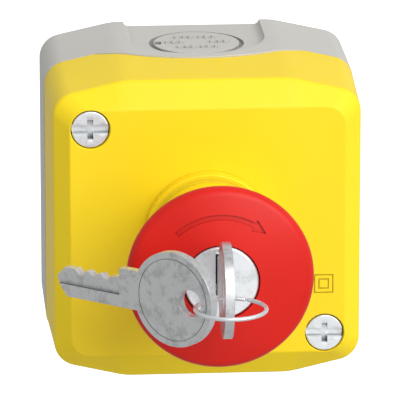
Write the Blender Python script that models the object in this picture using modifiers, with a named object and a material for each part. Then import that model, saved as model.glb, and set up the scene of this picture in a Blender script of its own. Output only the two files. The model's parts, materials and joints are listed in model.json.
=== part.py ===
"""Key-release emergency stop station for wall mounting.

Lengths are in metres. Every piece is laid out in the station's own frame: X to the right, Y up and
Z out of the wall towards the user. The wall_datum empty stands that frame upright, so that the
wall is the plane Y = 0 and the button faces -Y.
"""

import math

import bmesh
import bpy
from mathutils import Matrix, Vector

# Fits
GAP = 0.0003
LOCK_FACE_GAP = 0.00025

# Enclosure
BOX_WIDTH = 0.068
BOX_HEIGHT = 0.068
BOX_WALL = 0.0026
BASE_SIDE_DEPTH = 0.0245
PARTING_CREST = 0.0086
PARTING_RADIUS = 0.035
LID_SKIRT = 0.025
LID_BEVEL = 0.0035
LID_DRAFT = 0.0008
LID_TOP_WALL = 0.0027
LEVEL_HALF_WIDTH = 0.0179
SHOULDER_DROP = 0.0036
CORNER_REACH = 0.0042
BREAK_REACH = 0.0018
FACE_SIDE_INSET = 0.0035
FACE_TOP_INSET = 0.0057
GASKET_THICKNESS = 0.0007
GASKET_HALF_HEIGHT = 0.0015

# Cable entry on the top and the bottom of the base
RECESS_HALF_WIDTH = 0.0152
RECESS_DEPTH = 0.00115
RECESS_FRONT = 0.0304
KNOCKOUT_CENTRE = 0.0168
KNOCKOUT_RADIUS = 0.0105
KNOCKOUT_GROOVE = 0.0005

# Fasteners
SCREW_ACROSS = 0.0253
SCREW_UP = 0.0233
SCREW_HEAD_RADIUS = 0.004
SCREW_HEAD_HEIGHT = 0.0026
SCREW_SHANK_RADIUS = 0.0019
SCREW_SUNK = 0.0002
SCREW_SLOT_WIDTH = 0.002
SCREW_CROSS_WIDTH = 0.00125
SCREW_CROSS_LENGTH = 0.0043
SCREW_RECESS_DEPTH = 0.0011
COUNTERBORE_CLEARANCE = 0.00025
BASE_BOSS_RADIUS = 0.0036
LID_BOSS_RADIUS = 0.0055
MOUNTING_HOLE_RADIUS = 0.0022
MOUNTING_HOLE_OFFSET = 0.024

# Operator and its collar
THREAD_RADIUS = 0.011
OPERATOR_WALL = 0.0015
OPERATOR_REAR = 0.0119
NUT_WALL = 0.0038
NUT_THICKNESS = 0.0055
COLLAR_WALL = 0.00045
COLLAR_HEIGHT = 0.0033
COLLAR_EDGE = 0.0005
NECK_WALL = 0.001
NECK_HEIGHT = 0.0165
NECK_LIP = 0.0014
SEAL_THICKNESS = 0.0015
BEZEL_GASKET_WIDTH = 0.0014
BEZEL_GASKET_THICKNESS = 0.0008

# Mushroom head and its stem
HEAD_RADIUS = 0.0197
HEAD_HEIGHT = 0.0149
HEAD_CLEARANCE = 0.006
HEAD_RIM_ROUND = 0.0022
HEAD_DOME_RADIUS = 0.06
HEAD_SKIRT_ANGLE = math.radians(19.6)
HEAD_WALL = 0.0017
PRESS_TRAVEL = 0.004
STEM_WALL = 0.0011
STEM_SOCKET = 0.0042
ACTUATOR_THICKNESS = 0.002
PRESS_RESERVE = 0.0008

# Lock
LOCK_FACE_RADIUS = 0.00785
LOCK_FACE_THICKNESS = 0.0026
LOCK_FACE_CHAMFER = 0.0004
LOCK_PROUD = 0.0002
BARREL_LENGTH = 0.0257
BARREL_WALL = 0.0008
SMALLEST_STEP = 0.00001
CAM_THICKNESS = 0.0028
CAM_CLEARANCE = 0.0009
LATCH_RADIUS = 0.0015
LATCH_REACH = 0.0006
LATCH_LENGTH = 0.0058
KEYWAY_DEPTH = 0.0015

# Keys and ring
KEY_THICKNESS = 0.00195
KEY_BOW_RADIUS = 0.01
KEY_HOLE_RADIUS = 0.0028
KEY_HOLE_OFFSET = 0.0044
KEY_SPINE_OFFSET = 0.0038
KEY_TAB_HEIGHT = 0.0084
KEY_TAB_END = 0.0137
KEY_BLADE_HEIGHT = 0.0063
KEY_TIP = 0.03
KEY_TIP_CHAMFER = 0.0021
KEY_TIP_SLANT = 0.0031
KEY_SEATING = 0.0012
KEY_RAISE = 0.0022
BITTING_START = 0.0171
BITTING_PITCH = 0.0033
BITTING_RAMP = 0.0009
BITTING_FLAT = 0.0004
BITTING_DEPTHS = (0.0008, 0.0007, 0.001)
RING_RADIUS = 0.00725
RING_WIRE = 0.00043
RING_DROP = 0.0004
SPARE_TURN = math.radians(41.0)
SPARE_TILT = math.radians(1.0)
SPARE_HOLE_SHIFT = Vector((-0.0005, 0.00128, -0.001))

# Contact blocks
CARRIER_WIDTH = 0.038
CARRIER_HEIGHT = 0.038
CARRIER_THICKNESS = 0.003
CARRIER_SCREW_OFFSET = 0.0145
CARRIER_SCREW_RADIUS = 0.0015
BLOCK_WIDTH = 0.0106
BLOCK_HEIGHT = 0.034
BLOCK_DEPTH = 0.025
BLOCK_SPACING = 0.012
BLOCK_FLOOR = 0.002
PLUNGER_HALF_WIDTH = 0.002
PLUNGER_HALF_HEIGHT = 0.003
PLUNGER_LENGTH = 0.019
BRIDGE_HALF_WIDTH = 0.0012
BRIDGE_HALF_LENGTH = 0.009
CONTACT_STRIP = 0.0008
CONTACT_INNER = 0.006
CONTACT_OUTER = 0.0165
CONTACT_HALF_WIDTH = 0.0018
CONTACT_DEPTH_NC = 0.0097
TERMINAL_OFFSET = 0.014
TERMINAL_HEAD_RADIUS = 0.002
TERMINAL_SHANK_RADIUS = 0.001
TERMINAL_HEAD_HEIGHT = 0.002
TERMINAL_SHANK_LENGTH = 0.0035
TERMINAL_HALF_WIDTH = 0.0038
SPRING_RADIUS = 0.0015
SPRING_WIRE = 0.00035
SPRING_TURNS = 4

# Facets round a turned piece
FINE = 48
COARSE = 20

# Radii that follow from the sizes
OPERATOR_BORE = THREAD_RADIUS - OPERATOR_WALL
STEM_RADIUS = OPERATOR_BORE - GAP
STEM_BORE = STEM_RADIUS - STEM_WALL
HEAD_BORE = LOCK_FACE_RADIUS + LOCK_FACE_GAP
BARREL_FRONT_RADIUS = HEAD_BORE - GAP
BARREL_RADIUS = STEM_BORE - GAP
BARREL_BORE = min(BARREL_FRONT_RADIUS, BARREL_RADIUS) - BARREL_WALL
PLUG_RADIUS = BARREL_BORE - GAP
CAM_RADIUS = STEM_BORE - CAM_CLEARANCE
NUT_RADIUS = THREAD_RADIUS + NUT_WALL
NECK_RADIUS = THREAD_RADIUS + GAP + NECK_WALL
GASKET_RIM = THREAD_RADIUS + GAP + BEZEL_GASKET_WIDTH + 2 * GAP
COLLAR_RADIUS = GASKET_RIM + COLLAR_WALL

# Places that follow from the sizes, as depths in front of the wall
LID_EDGE = BASE_SIDE_DEPTH + LID_SKIRT
FACE = LID_EDGE + LID_BEVEL
CEILING = FACE - LID_TOP_WALL
OPERATOR_BACK = FACE - OPERATOR_REAR
NECK_TOP = FACE + NECK_HEIGHT
LIP_BACK = NECK_TOP - NECK_LIP
SEAL_FRONT = LIP_BACK - GAP
SEAL_BACK = SEAL_FRONT - SEAL_THICKNESS
OPERATOR_FRONT = SEAL_BACK - GAP
HEAD_BACK = NECK_TOP + HEAD_CLEARANCE
HEAD_FRONT = HEAD_BACK + HEAD_HEIGHT
LOCK_FRONT = HEAD_FRONT + LOCK_PROUD
LOCK_BACK = LOCK_FRONT - LOCK_FACE_THICKNESS
BARREL_FRONT = LOCK_BACK - GAP
BARREL_BACK = BARREL_FRONT - BARREL_LENGTH
PLUG_BACK = BARREL_BACK - 2 * GAP
CAM_FRONT = PLUG_BACK - GAP
CAM_BACK = CAM_FRONT - CAM_THICKNESS
LATCH_PLACE = CAM_BACK - GAP - LATCH_RADIUS
STEM_FRONT = HEAD_BACK + STEM_SOCKET - GAP
CARRIER_FRONT = OPERATOR_BACK - GAP
CARRIER_BACK = CARRIER_FRONT - CARRIER_THICKNESS
BLOCK_FRONT = CARRIER_BACK - GAP
BLOCK_BACK = BLOCK_FRONT - BLOCK_DEPTH
ACTUATOR_BACK = BLOCK_FRONT + PRESS_TRAVEL + PRESS_RESERVE
ACTUATOR_FRONT = ACTUATOR_BACK + ACTUATOR_THICKNESS
STEM_BACK = ACTUATOR_FRONT + GAP
PLUNGER_FRONT = ACTUATOR_BACK - GAP
PLUNGER_BACK = PLUNGER_FRONT - PLUNGER_LENGTH
KEY_CENTRE = LOCK_FRONT - KEY_SEATING + KEY_TAB_END
RING_BACK = KEY_CENTRE + KEY_HOLE_OFFSET
RING_HEIGHT = KEY_RAISE - RING_DROP


def clear_scene():
    """Takes every object and unused collection out of the file."""
    for obj in list(bpy.data.objects):
        bpy.data.objects.remove(obj, do_unlink=True)
    for collection in list(bpy.data.collections):
        bpy.data.collections.remove(collection)


def make_collection(name, hidden=False):
    collection = bpy.data.collections.new(name)
    collection.hide_render = hidden
    bpy.context.scene.collection.children.link(collection)
    return collection


def make_material(name, colour, roughness, metallic=0.0):
    material = bpy.data.materials.new(name)
    material.use_nodes = True
    shader = material.node_tree.nodes["Principled BSDF"]
    shader.inputs["Base Color"].default_value = (*colour, 1.0)
    shader.inputs["Roughness"].default_value = roughness
    shader.inputs["Metallic"].default_value = metallic
    return material


def make_empty(name, place, parent):
    empty = bpy.data.objects.new(name, None)
    empty.location = place
    empty.parent = parent
    empty.empty_display_size = 0.005
    parts.objects.link(empty)
    return empty


def add_part(name, mesh, material, parent=None):
    """A piece of the station, from a mesh laid out in the station's frame."""
    obj = bpy.data.objects.new(name, mesh)
    parts.objects.link(obj)
    mesh.materials.append(material)
    obj.parent = parent or wall_datum
    if parent:
        obj.location = -parent.location
    return obj


def add_cutter(mesh):
    """A shape that only cuts or joins others."""
    obj = bpy.data.objects.new("cutter_" + mesh.name, mesh)
    cutters.objects.link(obj)
    obj.parent = wall_datum
    obj.hide_render = True
    obj.display_type = "WIRE"
    return obj


def shape(obj, operation, mesh):
    """Cuts a mesh from a piece, joins it on, or keeps what they share."""
    modifier = obj.modifiers.new(operation.lower(), "BOOLEAN")
    modifier.operation = operation
    modifier.object = add_cutter(mesh)
    modifier.solver = "EXACT"


def cut(obj, *meshes):
    for mesh in meshes:
        shape(obj, "DIFFERENCE", mesh)


def join(obj, *meshes):
    for mesh in meshes:
        shape(obj, "UNION", mesh)


def finish_mesh(bm, name, smooth=False):
    bmesh.ops.recalc_face_normals(bm, faces=bm.faces)
    mesh = bpy.data.meshes.new(name)
    bm.to_mesh(mesh)
    bm.free()
    if smooth:
        mesh.shade_smooth()
        mesh.set_sharp_from_angle(angle=math.radians(35))
    return mesh


def box_mesh(name, low, high):
    bm = bmesh.new()
    bmesh.ops.create_cube(bm, size=1.0)
    low, high = Vector(low), Vector(high)
    size = high - low
    bmesh.ops.scale(bm, vec=size, verts=bm.verts)
    bmesh.ops.translate(bm, vec=(low + high) / 2, verts=bm.verts)
    return finish_mesh(bm, name)


def cylinder_mesh(name, radius, back, front, place=(0.0, 0.0), facets=COARSE):
    bm = bmesh.new()
    bmesh.ops.create_cone(
        bm, cap_ends=True, segments=facets, radius1=radius, radius2=radius, depth=front - back
    )
    bmesh.ops.translate(bm, vec=(place[0], place[1], (front + back) / 2), verts=bm.verts)
    return finish_mesh(bm, name, smooth=True)


def loft_mesh(name, sections):
    """A closed skin through outlines of equal length, each given with its depth."""
    bm = bmesh.new()
    rings = [[bm.verts.new((x, y, depth)) for x, y in outline] for outline, depth in sections]
    for lower, upper in zip(rings, rings[1:]):
        for i, vert in enumerate(lower):
            after = (i + 1) % len(lower)
            bm.faces.new((vert, lower[after], upper[after], upper[i]))
    bm.faces.new(rings[0])
    bm.faces.new(rings[-1])
    return finish_mesh(bm, name, smooth=True)


def plate_mesh(name, outlines, back, front):
    """A flat outline, with any holes in it, made as thick as from back to front."""
    curve = bpy.data.curves.new(name, "CURVE")
    curve.dimensions = "2D"
    curve.fill_mode = "BOTH"
    curve.extrude = (front - back) / 2
    for outline in outlines:
        spline = curve.splines.new("POLY")
        spline.points.add(len(outline) - 1)
        for point, (x, y) in zip(spline.points, outline):
            point.co = (x, y, 0.0, 1.0)
        spline.use_cyclic_u = True
    guide = bpy.data.objects.new(name, curve)
    cutters.objects.link(guide)
    graph = bpy.context.evaluated_depsgraph_get()
    mesh = bpy.data.meshes.new_from_object(guide.evaluated_get(graph))
    bpy.data.objects.remove(guide)
    bpy.data.curves.remove(curve)
    bm = bmesh.new()
    bm.from_mesh(mesh)
    bpy.data.meshes.remove(mesh)
    bmesh.ops.remove_doubles(bm, verts=bm.verts, dist=0.000001)
    bmesh.ops.translate(bm, vec=(0, 0, (back + front) / 2), verts=bm.verts)
    return finish_mesh(bm, name)


def turned(name, profile, material, parent=None, facets=FINE, closed=True):
    """A piece turned about the button's axis, from (radius, depth) down its outer side."""
    mesh = bpy.data.meshes.new(name)
    edges = [(i, i + 1) for i in range(len(profile) - 1)]
    if closed:
        edges.append((len(profile) - 1, 0))
    mesh.from_pydata([(radius, 0.0, depth) for radius, depth in profile], edges, [])
    obj = add_part(name, mesh, material, parent)
    screw = obj.modifiers.new("turn", "SCREW")
    screw.steps = facets
    screw.render_steps = facets
    screw.use_merge_vertices = True
    screw.merge_threshold = 0.00001
    screw.use_smooth_shade = True
    return obj


def arc(centre, radius, start, end, steps):
    """Points of an arc, from one angle to another."""
    points = []
    for i in range(steps + 1):
        angle = start + (end - start) * i / steps
        points.append((centre[0] + radius * math.cos(angle), centre[1] + radius * math.sin(angle)))
    return points


def circle(radius, facets=COARSE, centre=(0.0, 0.0)):
    return arc(centre, radius, 0.0, 2 * math.pi, facets)[:-1]


def round_corner(before, corner, after, reach, steps):
    """The arc that rounds a corner, starting and ending this far from it."""
    before, corner, after = Vector(before), Vector(corner), Vector(after)
    inward = (before - corner).normalized()
    outward = (after - corner).normalized()
    start = corner + inward * reach
    end = corner + outward * reach
    weight = math.sqrt(max(0.0, (1 - inward.dot(outward)) / 2))
    points = []
    for i in range(steps + 1):
        t = i / steps
        parts_of_arc = ((1 - t) ** 2, 2 * weight * t * (1 - t), t**2)
        point = start * parts_of_arc[0] + corner * parts_of_arc[1] + end * parts_of_arc[2]
        points.append(tuple(point / sum(parts_of_arc)))
    return points


def box_outline(half_width, half_height, drop=SHOULDER_DROP, corner=CORNER_REACH):
    """The enclosure's outline: level in the middle of its top and bottom, sloping to the sides."""
    level = LEVEL_HALF_WIDTH
    side = (half_width, 0.0)
    shoulder = (half_width, half_height - drop)
    crest = (level, half_height)
    middle = (0.0, half_height)
    quarter = round_corner(side, shoulder, crest, corner, 6)
    quarter += round_corner(shoulder, crest, middle, BREAK_REACH, 3)
    upper = quarter + [(-x, y) for x, y in reversed(quarter)]
    return upper + [(-x, -y) for x, y in upper]


def rectangle(half_width, half_height):
    corners = [(half_width, half_height), (-half_width, half_height)]
    return corners + [(-x, -y) for x, y in corners]


def parting_line(offset=0.0):
    """Points (x, depth) of the joint between base and lid, which bows forward in the middle."""
    half_chord = math.sqrt(PARTING_RADIUS**2 - (PARTING_RADIUS - PARTING_CREST) ** 2)
    centre = (0.0, BASE_SIDE_DEPTH + PARTING_CREST - PARTING_RADIUS)
    spread = math.asin(half_chord / PARTING_RADIUS)
    bow = arc(centre, PARTING_RADIUS, math.pi / 2 + spread, math.pi / 2 - spread, 16)
    line = [(-BOX_WIDTH, BASE_SIDE_DEPTH)] + bow + [(BOX_WIDTH, BASE_SIDE_DEPTH)]
    return [(x, depth + offset) for x, depth in line]


def stand_up(mesh):
    """Turns a flat outline drawn as (x, depth) so that it runs up and down the enclosure."""
    mesh.transform(Matrix.Rotation(math.pi / 2, 4, "X"))
    return mesh


def parting_block(name, lower, upper):
    """Everything between two lines of (x, depth) points, over the enclosure's whole height."""
    outline = lower + list(reversed(upper))
    mesh = plate_mesh(name, [outline], -BOX_HEIGHT, BOX_HEIGHT)
    return stand_up(mesh)


def level_line(depth):
    return [(-BOX_WIDTH, depth), (BOX_WIDTH, depth)]


def screw_places():
    return {"upper": (-SCREW_ACROSS, SCREW_UP), "lower": (SCREW_ACROSS, -SCREW_UP)}


def make_rear_base():
    half_width = BOX_WIDTH / 2
    half_height = BOX_HEIGHT / 2
    front = BASE_SIDE_DEPTH + PARTING_CREST + BOX_WALL
    outline = box_outline(half_width, half_height)
    base = add_part("rear_base", loft_mesh("rear_base", [(outline, 0.0), (outline, front)]), grey)
    inside = box_outline(half_width - BOX_WALL, half_height - BOX_WALL)
    cut(base, loft_mesh("base_hollow", [(inside, BOX_WALL), (inside, front + BOX_WALL)]))
    cut(base, parting_block("above_parting", parting_line(), level_line(FACE)))
    boss_front = BASE_SIDE_DEPTH + LID_SKIRT / 4
    for name, place in screw_places().items():
        join(base, cylinder_mesh("base_boss_" + name, BASE_BOSS_RADIUS, BOX_WALL / 2, boss_front, place))
        hole = SCREW_SHANK_RADIUS + GAP
        cut(base, cylinder_mesh("base_hole_" + name, hole, BOX_WALL * 2, front, place))
    for side in (-1, 1):
        place = (side * MOUNTING_HOLE_OFFSET, side * MOUNTING_HOLE_OFFSET)
        mesh_name = "mounting_hole_right" if side > 0 else "mounting_hole_left"
        cut(base, cylinder_mesh(mesh_name, MOUNTING_HOLE_RADIUS, -BOX_WALL, 2 * BOX_WALL, place))
        cut(base, recess_mesh(side), groove_mesh(side))
    return base


def recess_mesh(side):
    """The U-shaped recess that frames a cable knockout, open at the wall."""
    straight = RECESS_FRONT - RECESS_HALF_WIDTH
    outline = [(RECESS_HALF_WIDTH, -BOX_WALL)]
    outline += arc((0.0, straight), RECESS_HALF_WIDTH, 0.0, math.pi, 16)
    outline += [(-RECESS_HALF_WIDTH, -BOX_WALL)]
    floor = BOX_HEIGHT / 2 - RECESS_DEPTH
    low, high = sorted((side * floor, side * BOX_HEIGHT))
    mesh = plate_mesh("recess", [outline], -high, -low)
    return stand_up(mesh)


def groove_mesh(side):
    """The ring groove along which a knockout breaks out."""
    floor = BOX_HEIGHT / 2 - RECESS_DEPTH - KNOCKOUT_GROOVE
    low, high = sorted((side * floor, side * (floor + 2 * KNOCKOUT_GROOVE)))
    centre = (0.0, KNOCKOUT_CENTRE)
    rings = [circle(KNOCKOUT_RADIUS, FINE, centre)]
    rings += [circle(KNOCKOUT_RADIUS - KNOCKOUT_GROOVE, FINE, centre)]
    return stand_up(plate_mesh("groove", rings, -high, -low))


def make_front_lid():
    back = BASE_SIDE_DEPTH - BOX_WALL
    half_width = BOX_WIDTH / 2
    half_height = BOX_HEIGHT / 2
    edge_width = half_width - LID_DRAFT
    edge_height = half_height - LID_DRAFT
    face_width = edge_width - FACE_SIDE_INSET
    face_height = edge_height - FACE_TOP_INSET
    skin = [
        (box_outline(half_width, half_height), back),
        (box_outline(edge_width, edge_height), LID_EDGE),
        (box_outline(face_width, face_height, drop=0.0), FACE),
    ]
    lid = add_part("front_lid", loft_mesh("front_lid", skin), yellow)
    hollow = [
        (box_outline(half_width - BOX_WALL, half_height - BOX_WALL), back - BOX_WALL),
        (box_outline(edge_width - BOX_WALL, edge_height - BOX_WALL), LID_EDGE - LID_TOP_WALL),
        (box_outline(face_width - BOX_WALL, face_height - BOX_WALL, drop=0.0), CEILING),
    ]
    cut(lid, loft_mesh("lid_hollow", hollow))
    boss_back = BASE_SIDE_DEPTH + LID_SKIRT / 4 + GAP
    for name, place in screw_places().items():
        join(lid, cylinder_mesh("lid_boss_" + name, LID_BOSS_RADIUS, boss_back, CEILING + GAP, place))
        seat = FACE - SCREW_SUNK - SCREW_HEAD_HEIGHT - GAP
        bore = SCREW_HEAD_RADIUS + COUNTERBORE_CLEARANCE
        cut(lid, cylinder_mesh("counterbore_" + name, bore, seat, FACE + BOX_WALL, place, FINE))
        hole = SCREW_SHANK_RADIUS + GAP
        cut(lid, cylinder_mesh("lid_hole_" + name, hole, back, FACE, place))
    window = THREAD_RADIUS + GAP
    cut(lid, cylinder_mesh("operator_window", window, CEILING - BOX_WALL, FACE + BOX_WALL, facets=FINE))
    cut(lid, parting_block("below_parting", level_line(0.0), parting_line(GAP)))
    return lid


def make_lid_gasket():
    """A seal inside the walls, which follows the parting line."""
    inset = BOX_WALL + GAP + LID_DRAFT / 2
    half_width = BOX_WIDTH / 2 - inset
    half_height = BOX_HEIGHT / 2 - inset
    outer = box_outline(half_width, half_height)
    inner = box_outline(half_width - GASKET_THICKNESS, half_height - GASKET_THICKNESS)
    front = BASE_SIDE_DEPTH + PARTING_CREST + BOX_WALL
    mesh = plate_mesh("lid_gasket", [outer, inner], BOX_WALL * 2, front)
    gasket = add_part("lid_gasket", mesh, black_rubber)
    lower = parting_line(-GASKET_HALF_HEIGHT)
    upper = parting_line(GASKET_HALF_HEIGHT)
    shape(gasket, "INTERSECT", parting_block("gasket_band", lower, upper))


def make_cover_screw(name, place):
    top = FACE - SCREW_SUNK
    seat = top - SCREW_HEAD_HEIGHT
    tip = BOX_WALL * 2 + SCREW_SHANK_RADIUS + GAP
    edge = SCREW_RECESS_DEPTH / 3
    profile = [
        (0.0, top),
        (SCREW_HEAD_RADIUS - edge, top),
        (SCREW_HEAD_RADIUS, top - edge),
        (SCREW_HEAD_RADIUS, seat),
        (SCREW_SHANK_RADIUS, seat),
        (SCREW_SHANK_RADIUS, tip),
        (0.0, tip - SCREW_SHANK_RADIUS),
    ]
    axis = make_empty("cover_screw_axis_" + name, (*place, 0.0), wall_datum)
    screw = turned("cover_screw_" + name, profile, plated_steel, axis, COARSE, closed=False)
    screw.location = (0.0, 0.0, 0.0)
    floor = top - SCREW_RECESS_DEPTH
    x, y = place
    half = SCREW_SLOT_WIDTH / 2
    reach = SCREW_HEAD_RADIUS * 1.5
    cross = SCREW_CROSS_LENGTH / 2
    front = top + SCREW_RECESS_DEPTH
    slot = box_mesh("slot_" + name, (x - reach, y - half, floor), (x + reach, y + half, front))
    half = SCREW_CROSS_WIDTH / 2
    arm = box_mesh("arm_" + name, (x - half, y - cross, floor), (x + half, y + cross, front))
    cut(screw, slot, arm)


def make_button_bezel():
    ledge = FACE + COLLAR_HEIGHT
    rebate = FACE + 3 * GAP + BEZEL_GASKET_THICKNESS
    bore = THREAD_RADIUS + GAP
    edge = COLLAR_EDGE
    profile = [
        (NECK_RADIUS - edge, NECK_TOP),
        (NECK_RADIUS, NECK_TOP - edge),
        (NECK_RADIUS, ledge + edge / 2),
        (COLLAR_RADIUS - edge, ledge),
        (COLLAR_RADIUS, ledge - edge),
        (COLLAR_RADIUS, FACE + GAP),
        (GASKET_RIM, FACE + GAP),
        (GASKET_RIM, rebate),
        (bore, rebate),
        (bore, LIP_BACK),
        (OPERATOR_BORE, LIP_BACK),
        (OPERATOR_BORE, NECK_TOP),
    ]
    turned("button_bezel", profile, yellow)


def ring_profile(inner, outer, back, front):
    return [(outer, front), (outer, back), (inner, back), (inner, front)]


def make_seals():
    inner = THREAD_RADIUS + GAP
    back = FACE + GAP
    front = back + BEZEL_GASKET_THICKNESS
    gasket = ring_profile(inner, inner + BEZEL_GASKET_WIDTH, back, front)
    turned("bezel_gasket", gasket, black_rubber, facets=COARSE)
    seal = ring_profile(OPERATOR_BORE, THREAD_RADIUS, SEAL_BACK, SEAL_FRONT)
    turned("neck_seal", seal, black_rubber, facets=COARSE)


def make_operator_body():
    """The threaded barrel through the lid, with a groove inside for the latch bolt."""
    groove = STEM_RADIUS + LATCH_REACH + GAP
    groove_front = LATCH_PLACE + LATCH_RADIUS + GAP
    groove_back = LATCH_PLACE - LATCH_RADIUS - GAP - PRESS_TRAVEL
    profile = [
        (THREAD_RADIUS, OPERATOR_FRONT),
        (THREAD_RADIUS, OPERATOR_BACK),
        (OPERATOR_BORE, OPERATOR_BACK),
        (OPERATOR_BORE, groove_back),
        (groove, groove_back),
        (groove, groove_front),
        (OPERATOR_BORE, groove_front),
        (OPERATOR_BORE, OPERATOR_FRONT),
    ]
    turned("operator_body", profile, black_plastic, facets=COARSE)


def make_fixing_nut():
    front = CEILING - GAP
    back = front - NUT_THICKNESS
    outlines = [circle(NUT_RADIUS, 6), circle(THREAD_RADIUS + GAP, COARSE)]
    add_part("fixing_nut", plate_mesh("fixing_nut", outlines, back, front), zinc)


def head_profile():
    """The mushroom: a low dome, a rounded rim, a skirt that tapers back and a hollow underside."""
    rim_radius = HEAD_RADIUS - HEAD_RIM_ROUND
    slope = math.asin(rim_radius / HEAD_DOME_RADIUS)
    dome_end = rim_radius + HEAD_RIM_ROUND * math.sin(slope)
    profile = []
    for i in range(7):
        radius = HEAD_BORE + (dome_end - HEAD_BORE) * i / 6
        drop = (radius**2 - HEAD_BORE**2) / (2 * HEAD_DOME_RADIUS)
        profile.append((radius, HEAD_FRONT - drop))
    rim_depth = profile[-1][1] - HEAD_RIM_ROUND * math.cos(slope)
    rim = arc((rim_radius, rim_depth), HEAD_RIM_ROUND, math.pi / 2 - slope, -HEAD_SKIRT_ANGLE, 7)
    profile += rim[1:]
    edge = HEAD_WALL / 2
    skirt_radius, skirt_depth = profile[-1]
    skirt_end = skirt_radius - (skirt_depth - HEAD_BACK - edge) * math.tan(HEAD_SKIRT_ANGLE)
    hub = OPERATOR_BORE + HEAD_WALL
    roof = HEAD_BACK + HEAD_HEIGHT / 2
    return profile + [
        (skirt_end, HEAD_BACK + edge),
        (skirt_end - edge, HEAD_BACK),
        (skirt_end - HEAD_WALL, HEAD_BACK),
        (skirt_end - HEAD_WALL, roof),
        (hub, roof),
        (hub, HEAD_BACK),
        (OPERATOR_BORE, HEAD_BACK),
        (OPERATOR_BORE, HEAD_BACK + STEM_SOCKET),
        (HEAD_BORE, HEAD_BACK + STEM_SOCKET),
    ]


def make_head():
    turned("mushroom_head", head_profile(), red, head_axis)
    tube = ring_profile(STEM_BORE, STEM_RADIUS, STEM_BACK, STEM_FRONT)
    stem = turned("head_stem", tube, zinc, head_axis, COARSE)
    window = cylinder_mesh("latch_window", LATCH_RADIUS + GAP, 0.0, THREAD_RADIUS, facets=16)
    cut(stem, lay_along_x(window, LATCH_PLACE))
    disc = cylinder_mesh("actuator_plate", STEM_RADIUS - GAP, ACTUATOR_BACK, ACTUATOR_FRONT)
    add_part("actuator_plate", disc, black_plastic, head_axis)


def lay_along_x(mesh, depth):
    mesh.transform(Matrix.Translation((0, 0, depth)) @ Matrix.Rotation(math.pi / 2, 4, "Y"))
    return mesh


def barrel_profile():
    """Fills the head's bore in front and the stem's bore behind, with a step where they differ."""
    outside = [(BARREL_FRONT_RADIUS, BARREL_FRONT)]
    if abs(BARREL_FRONT_RADIUS - BARREL_RADIUS) > SMALLEST_STEP:
        step = STEM_FRONT + GAP / 2
        outside += [(BARREL_FRONT_RADIUS, step), (BARREL_RADIUS, step)]
    outside += [(BARREL_RADIUS, BARREL_BACK)]
    return outside + [(BARREL_BORE, BARREL_BACK), (BARREL_BORE, BARREL_FRONT)]


def make_lock():
    turned("lock_barrel", barrel_profile(), zinc, head_axis, COARSE)
    profile = [
        (0.0, LOCK_FRONT),
        (LOCK_FACE_RADIUS - LOCK_FACE_CHAMFER, LOCK_FRONT),
        (LOCK_FACE_RADIUS, LOCK_FRONT - LOCK_FACE_CHAMFER),
        (LOCK_FACE_RADIUS, LOCK_BACK),
        (PLUG_RADIUS, LOCK_BACK),
        (PLUG_RADIUS, PLUG_BACK),
        (0.0, PLUG_BACK),
    ]
    plug = turned("lock_plug", profile, nickel, head_axis, closed=False)
    half_width = KEY_THICKNESS / 2 + GAP
    spine = KEY_RAISE + KEY_SPINE_OFFSET
    blade = spine - KEY_BLADE_HEIGHT - GAP
    tab = spine - KEY_TAB_HEIGHT - GAP
    tip = KEY_CENTRE - KEY_TIP - GAP
    over = LOCK_FRONT + KEYWAY_DEPTH
    mouth = LOCK_FRONT - KEYWAY_DEPTH
    cut(
        plug,
        box_mesh("keyway", (-half_width, blade, tip), (half_width, spine + GAP, over)),
        box_mesh("keyway_mouth", (-half_width, tab, mouth), (half_width, spine + GAP, over)),
    )
    make_lock_cam()
    bolt_end = STEM_RADIUS + LATCH_REACH
    bolt = cylinder_mesh("latch_bolt", LATCH_RADIUS, bolt_end - LATCH_LENGTH, bolt_end, facets=16)
    add_part("latch_bolt", lay_along_x(bolt, LATCH_PLACE), plated_steel, head_axis)


def make_lock_cam():
    """A disc with one flat side, turned by the plug to draw the latch bolt."""
    outline = arc((0.0, 0.0), CAM_RADIUS, math.radians(-150), math.radians(150), 20)
    mesh = plate_mesh("lock_cam", [outline], CAM_BACK, CAM_FRONT)
    add_part("lock_cam", mesh, zinc, head_axis)


def key_outline():
    """A flat key along X, its tip at +X, its bitting at -Y and the middle of its bow at zero."""
    spine = KEY_SPINE_OFFSET
    tab_bottom = spine - KEY_TAB_HEIGHT
    blade_bottom = spine - KEY_BLADE_HEIGHT
    start = math.asin(spine / KEY_BOW_RADIUS)
    end = 2 * math.pi + math.asin(tab_bottom / KEY_BOW_RADIUS)
    outline = arc((0.0, 0.0), KEY_BOW_RADIUS, start, end, 40)
    outline += [(KEY_TAB_END, tab_bottom), (KEY_TAB_END, blade_bottom)]
    for number, depth in enumerate(BITTING_DEPTHS):
        middle = BITTING_START + number * BITTING_PITCH
        outline += [
            (middle - BITTING_FLAT - BITTING_RAMP, blade_bottom),
            (middle - BITTING_FLAT, blade_bottom + depth),
            (middle + BITTING_FLAT, blade_bottom + depth),
            (middle + BITTING_FLAT + BITTING_RAMP, blade_bottom),
        ]
    outline += [
        (KEY_TIP - KEY_TIP_CHAMFER, blade_bottom),
        (KEY_TIP, blade_bottom + KEY_TIP_CHAMFER),
        (KEY_TIP, spine - KEY_TIP_SLANT),
        (KEY_TIP - KEY_TIP_SLANT * 0.8, spine),
    ]
    return outline


def key_mesh(name, towards_tip, away_from_bitting, bow_place):
    hole = circle(KEY_HOLE_RADIUS, COARSE, (-KEY_HOLE_OFFSET, 0.0))
    mesh = plate_mesh(name, [key_outline(), hole], -KEY_THICKNESS / 2, KEY_THICKNESS / 2)
    normal = towards_tip.cross(away_from_bitting).normalized()
    upward = normal.cross(towards_tip)
    turn = Matrix((towards_tip, upward, normal)).transposed().to_4x4()
    mesh.transform(Matrix.Translation(bow_place) @ turn)
    return mesh


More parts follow.
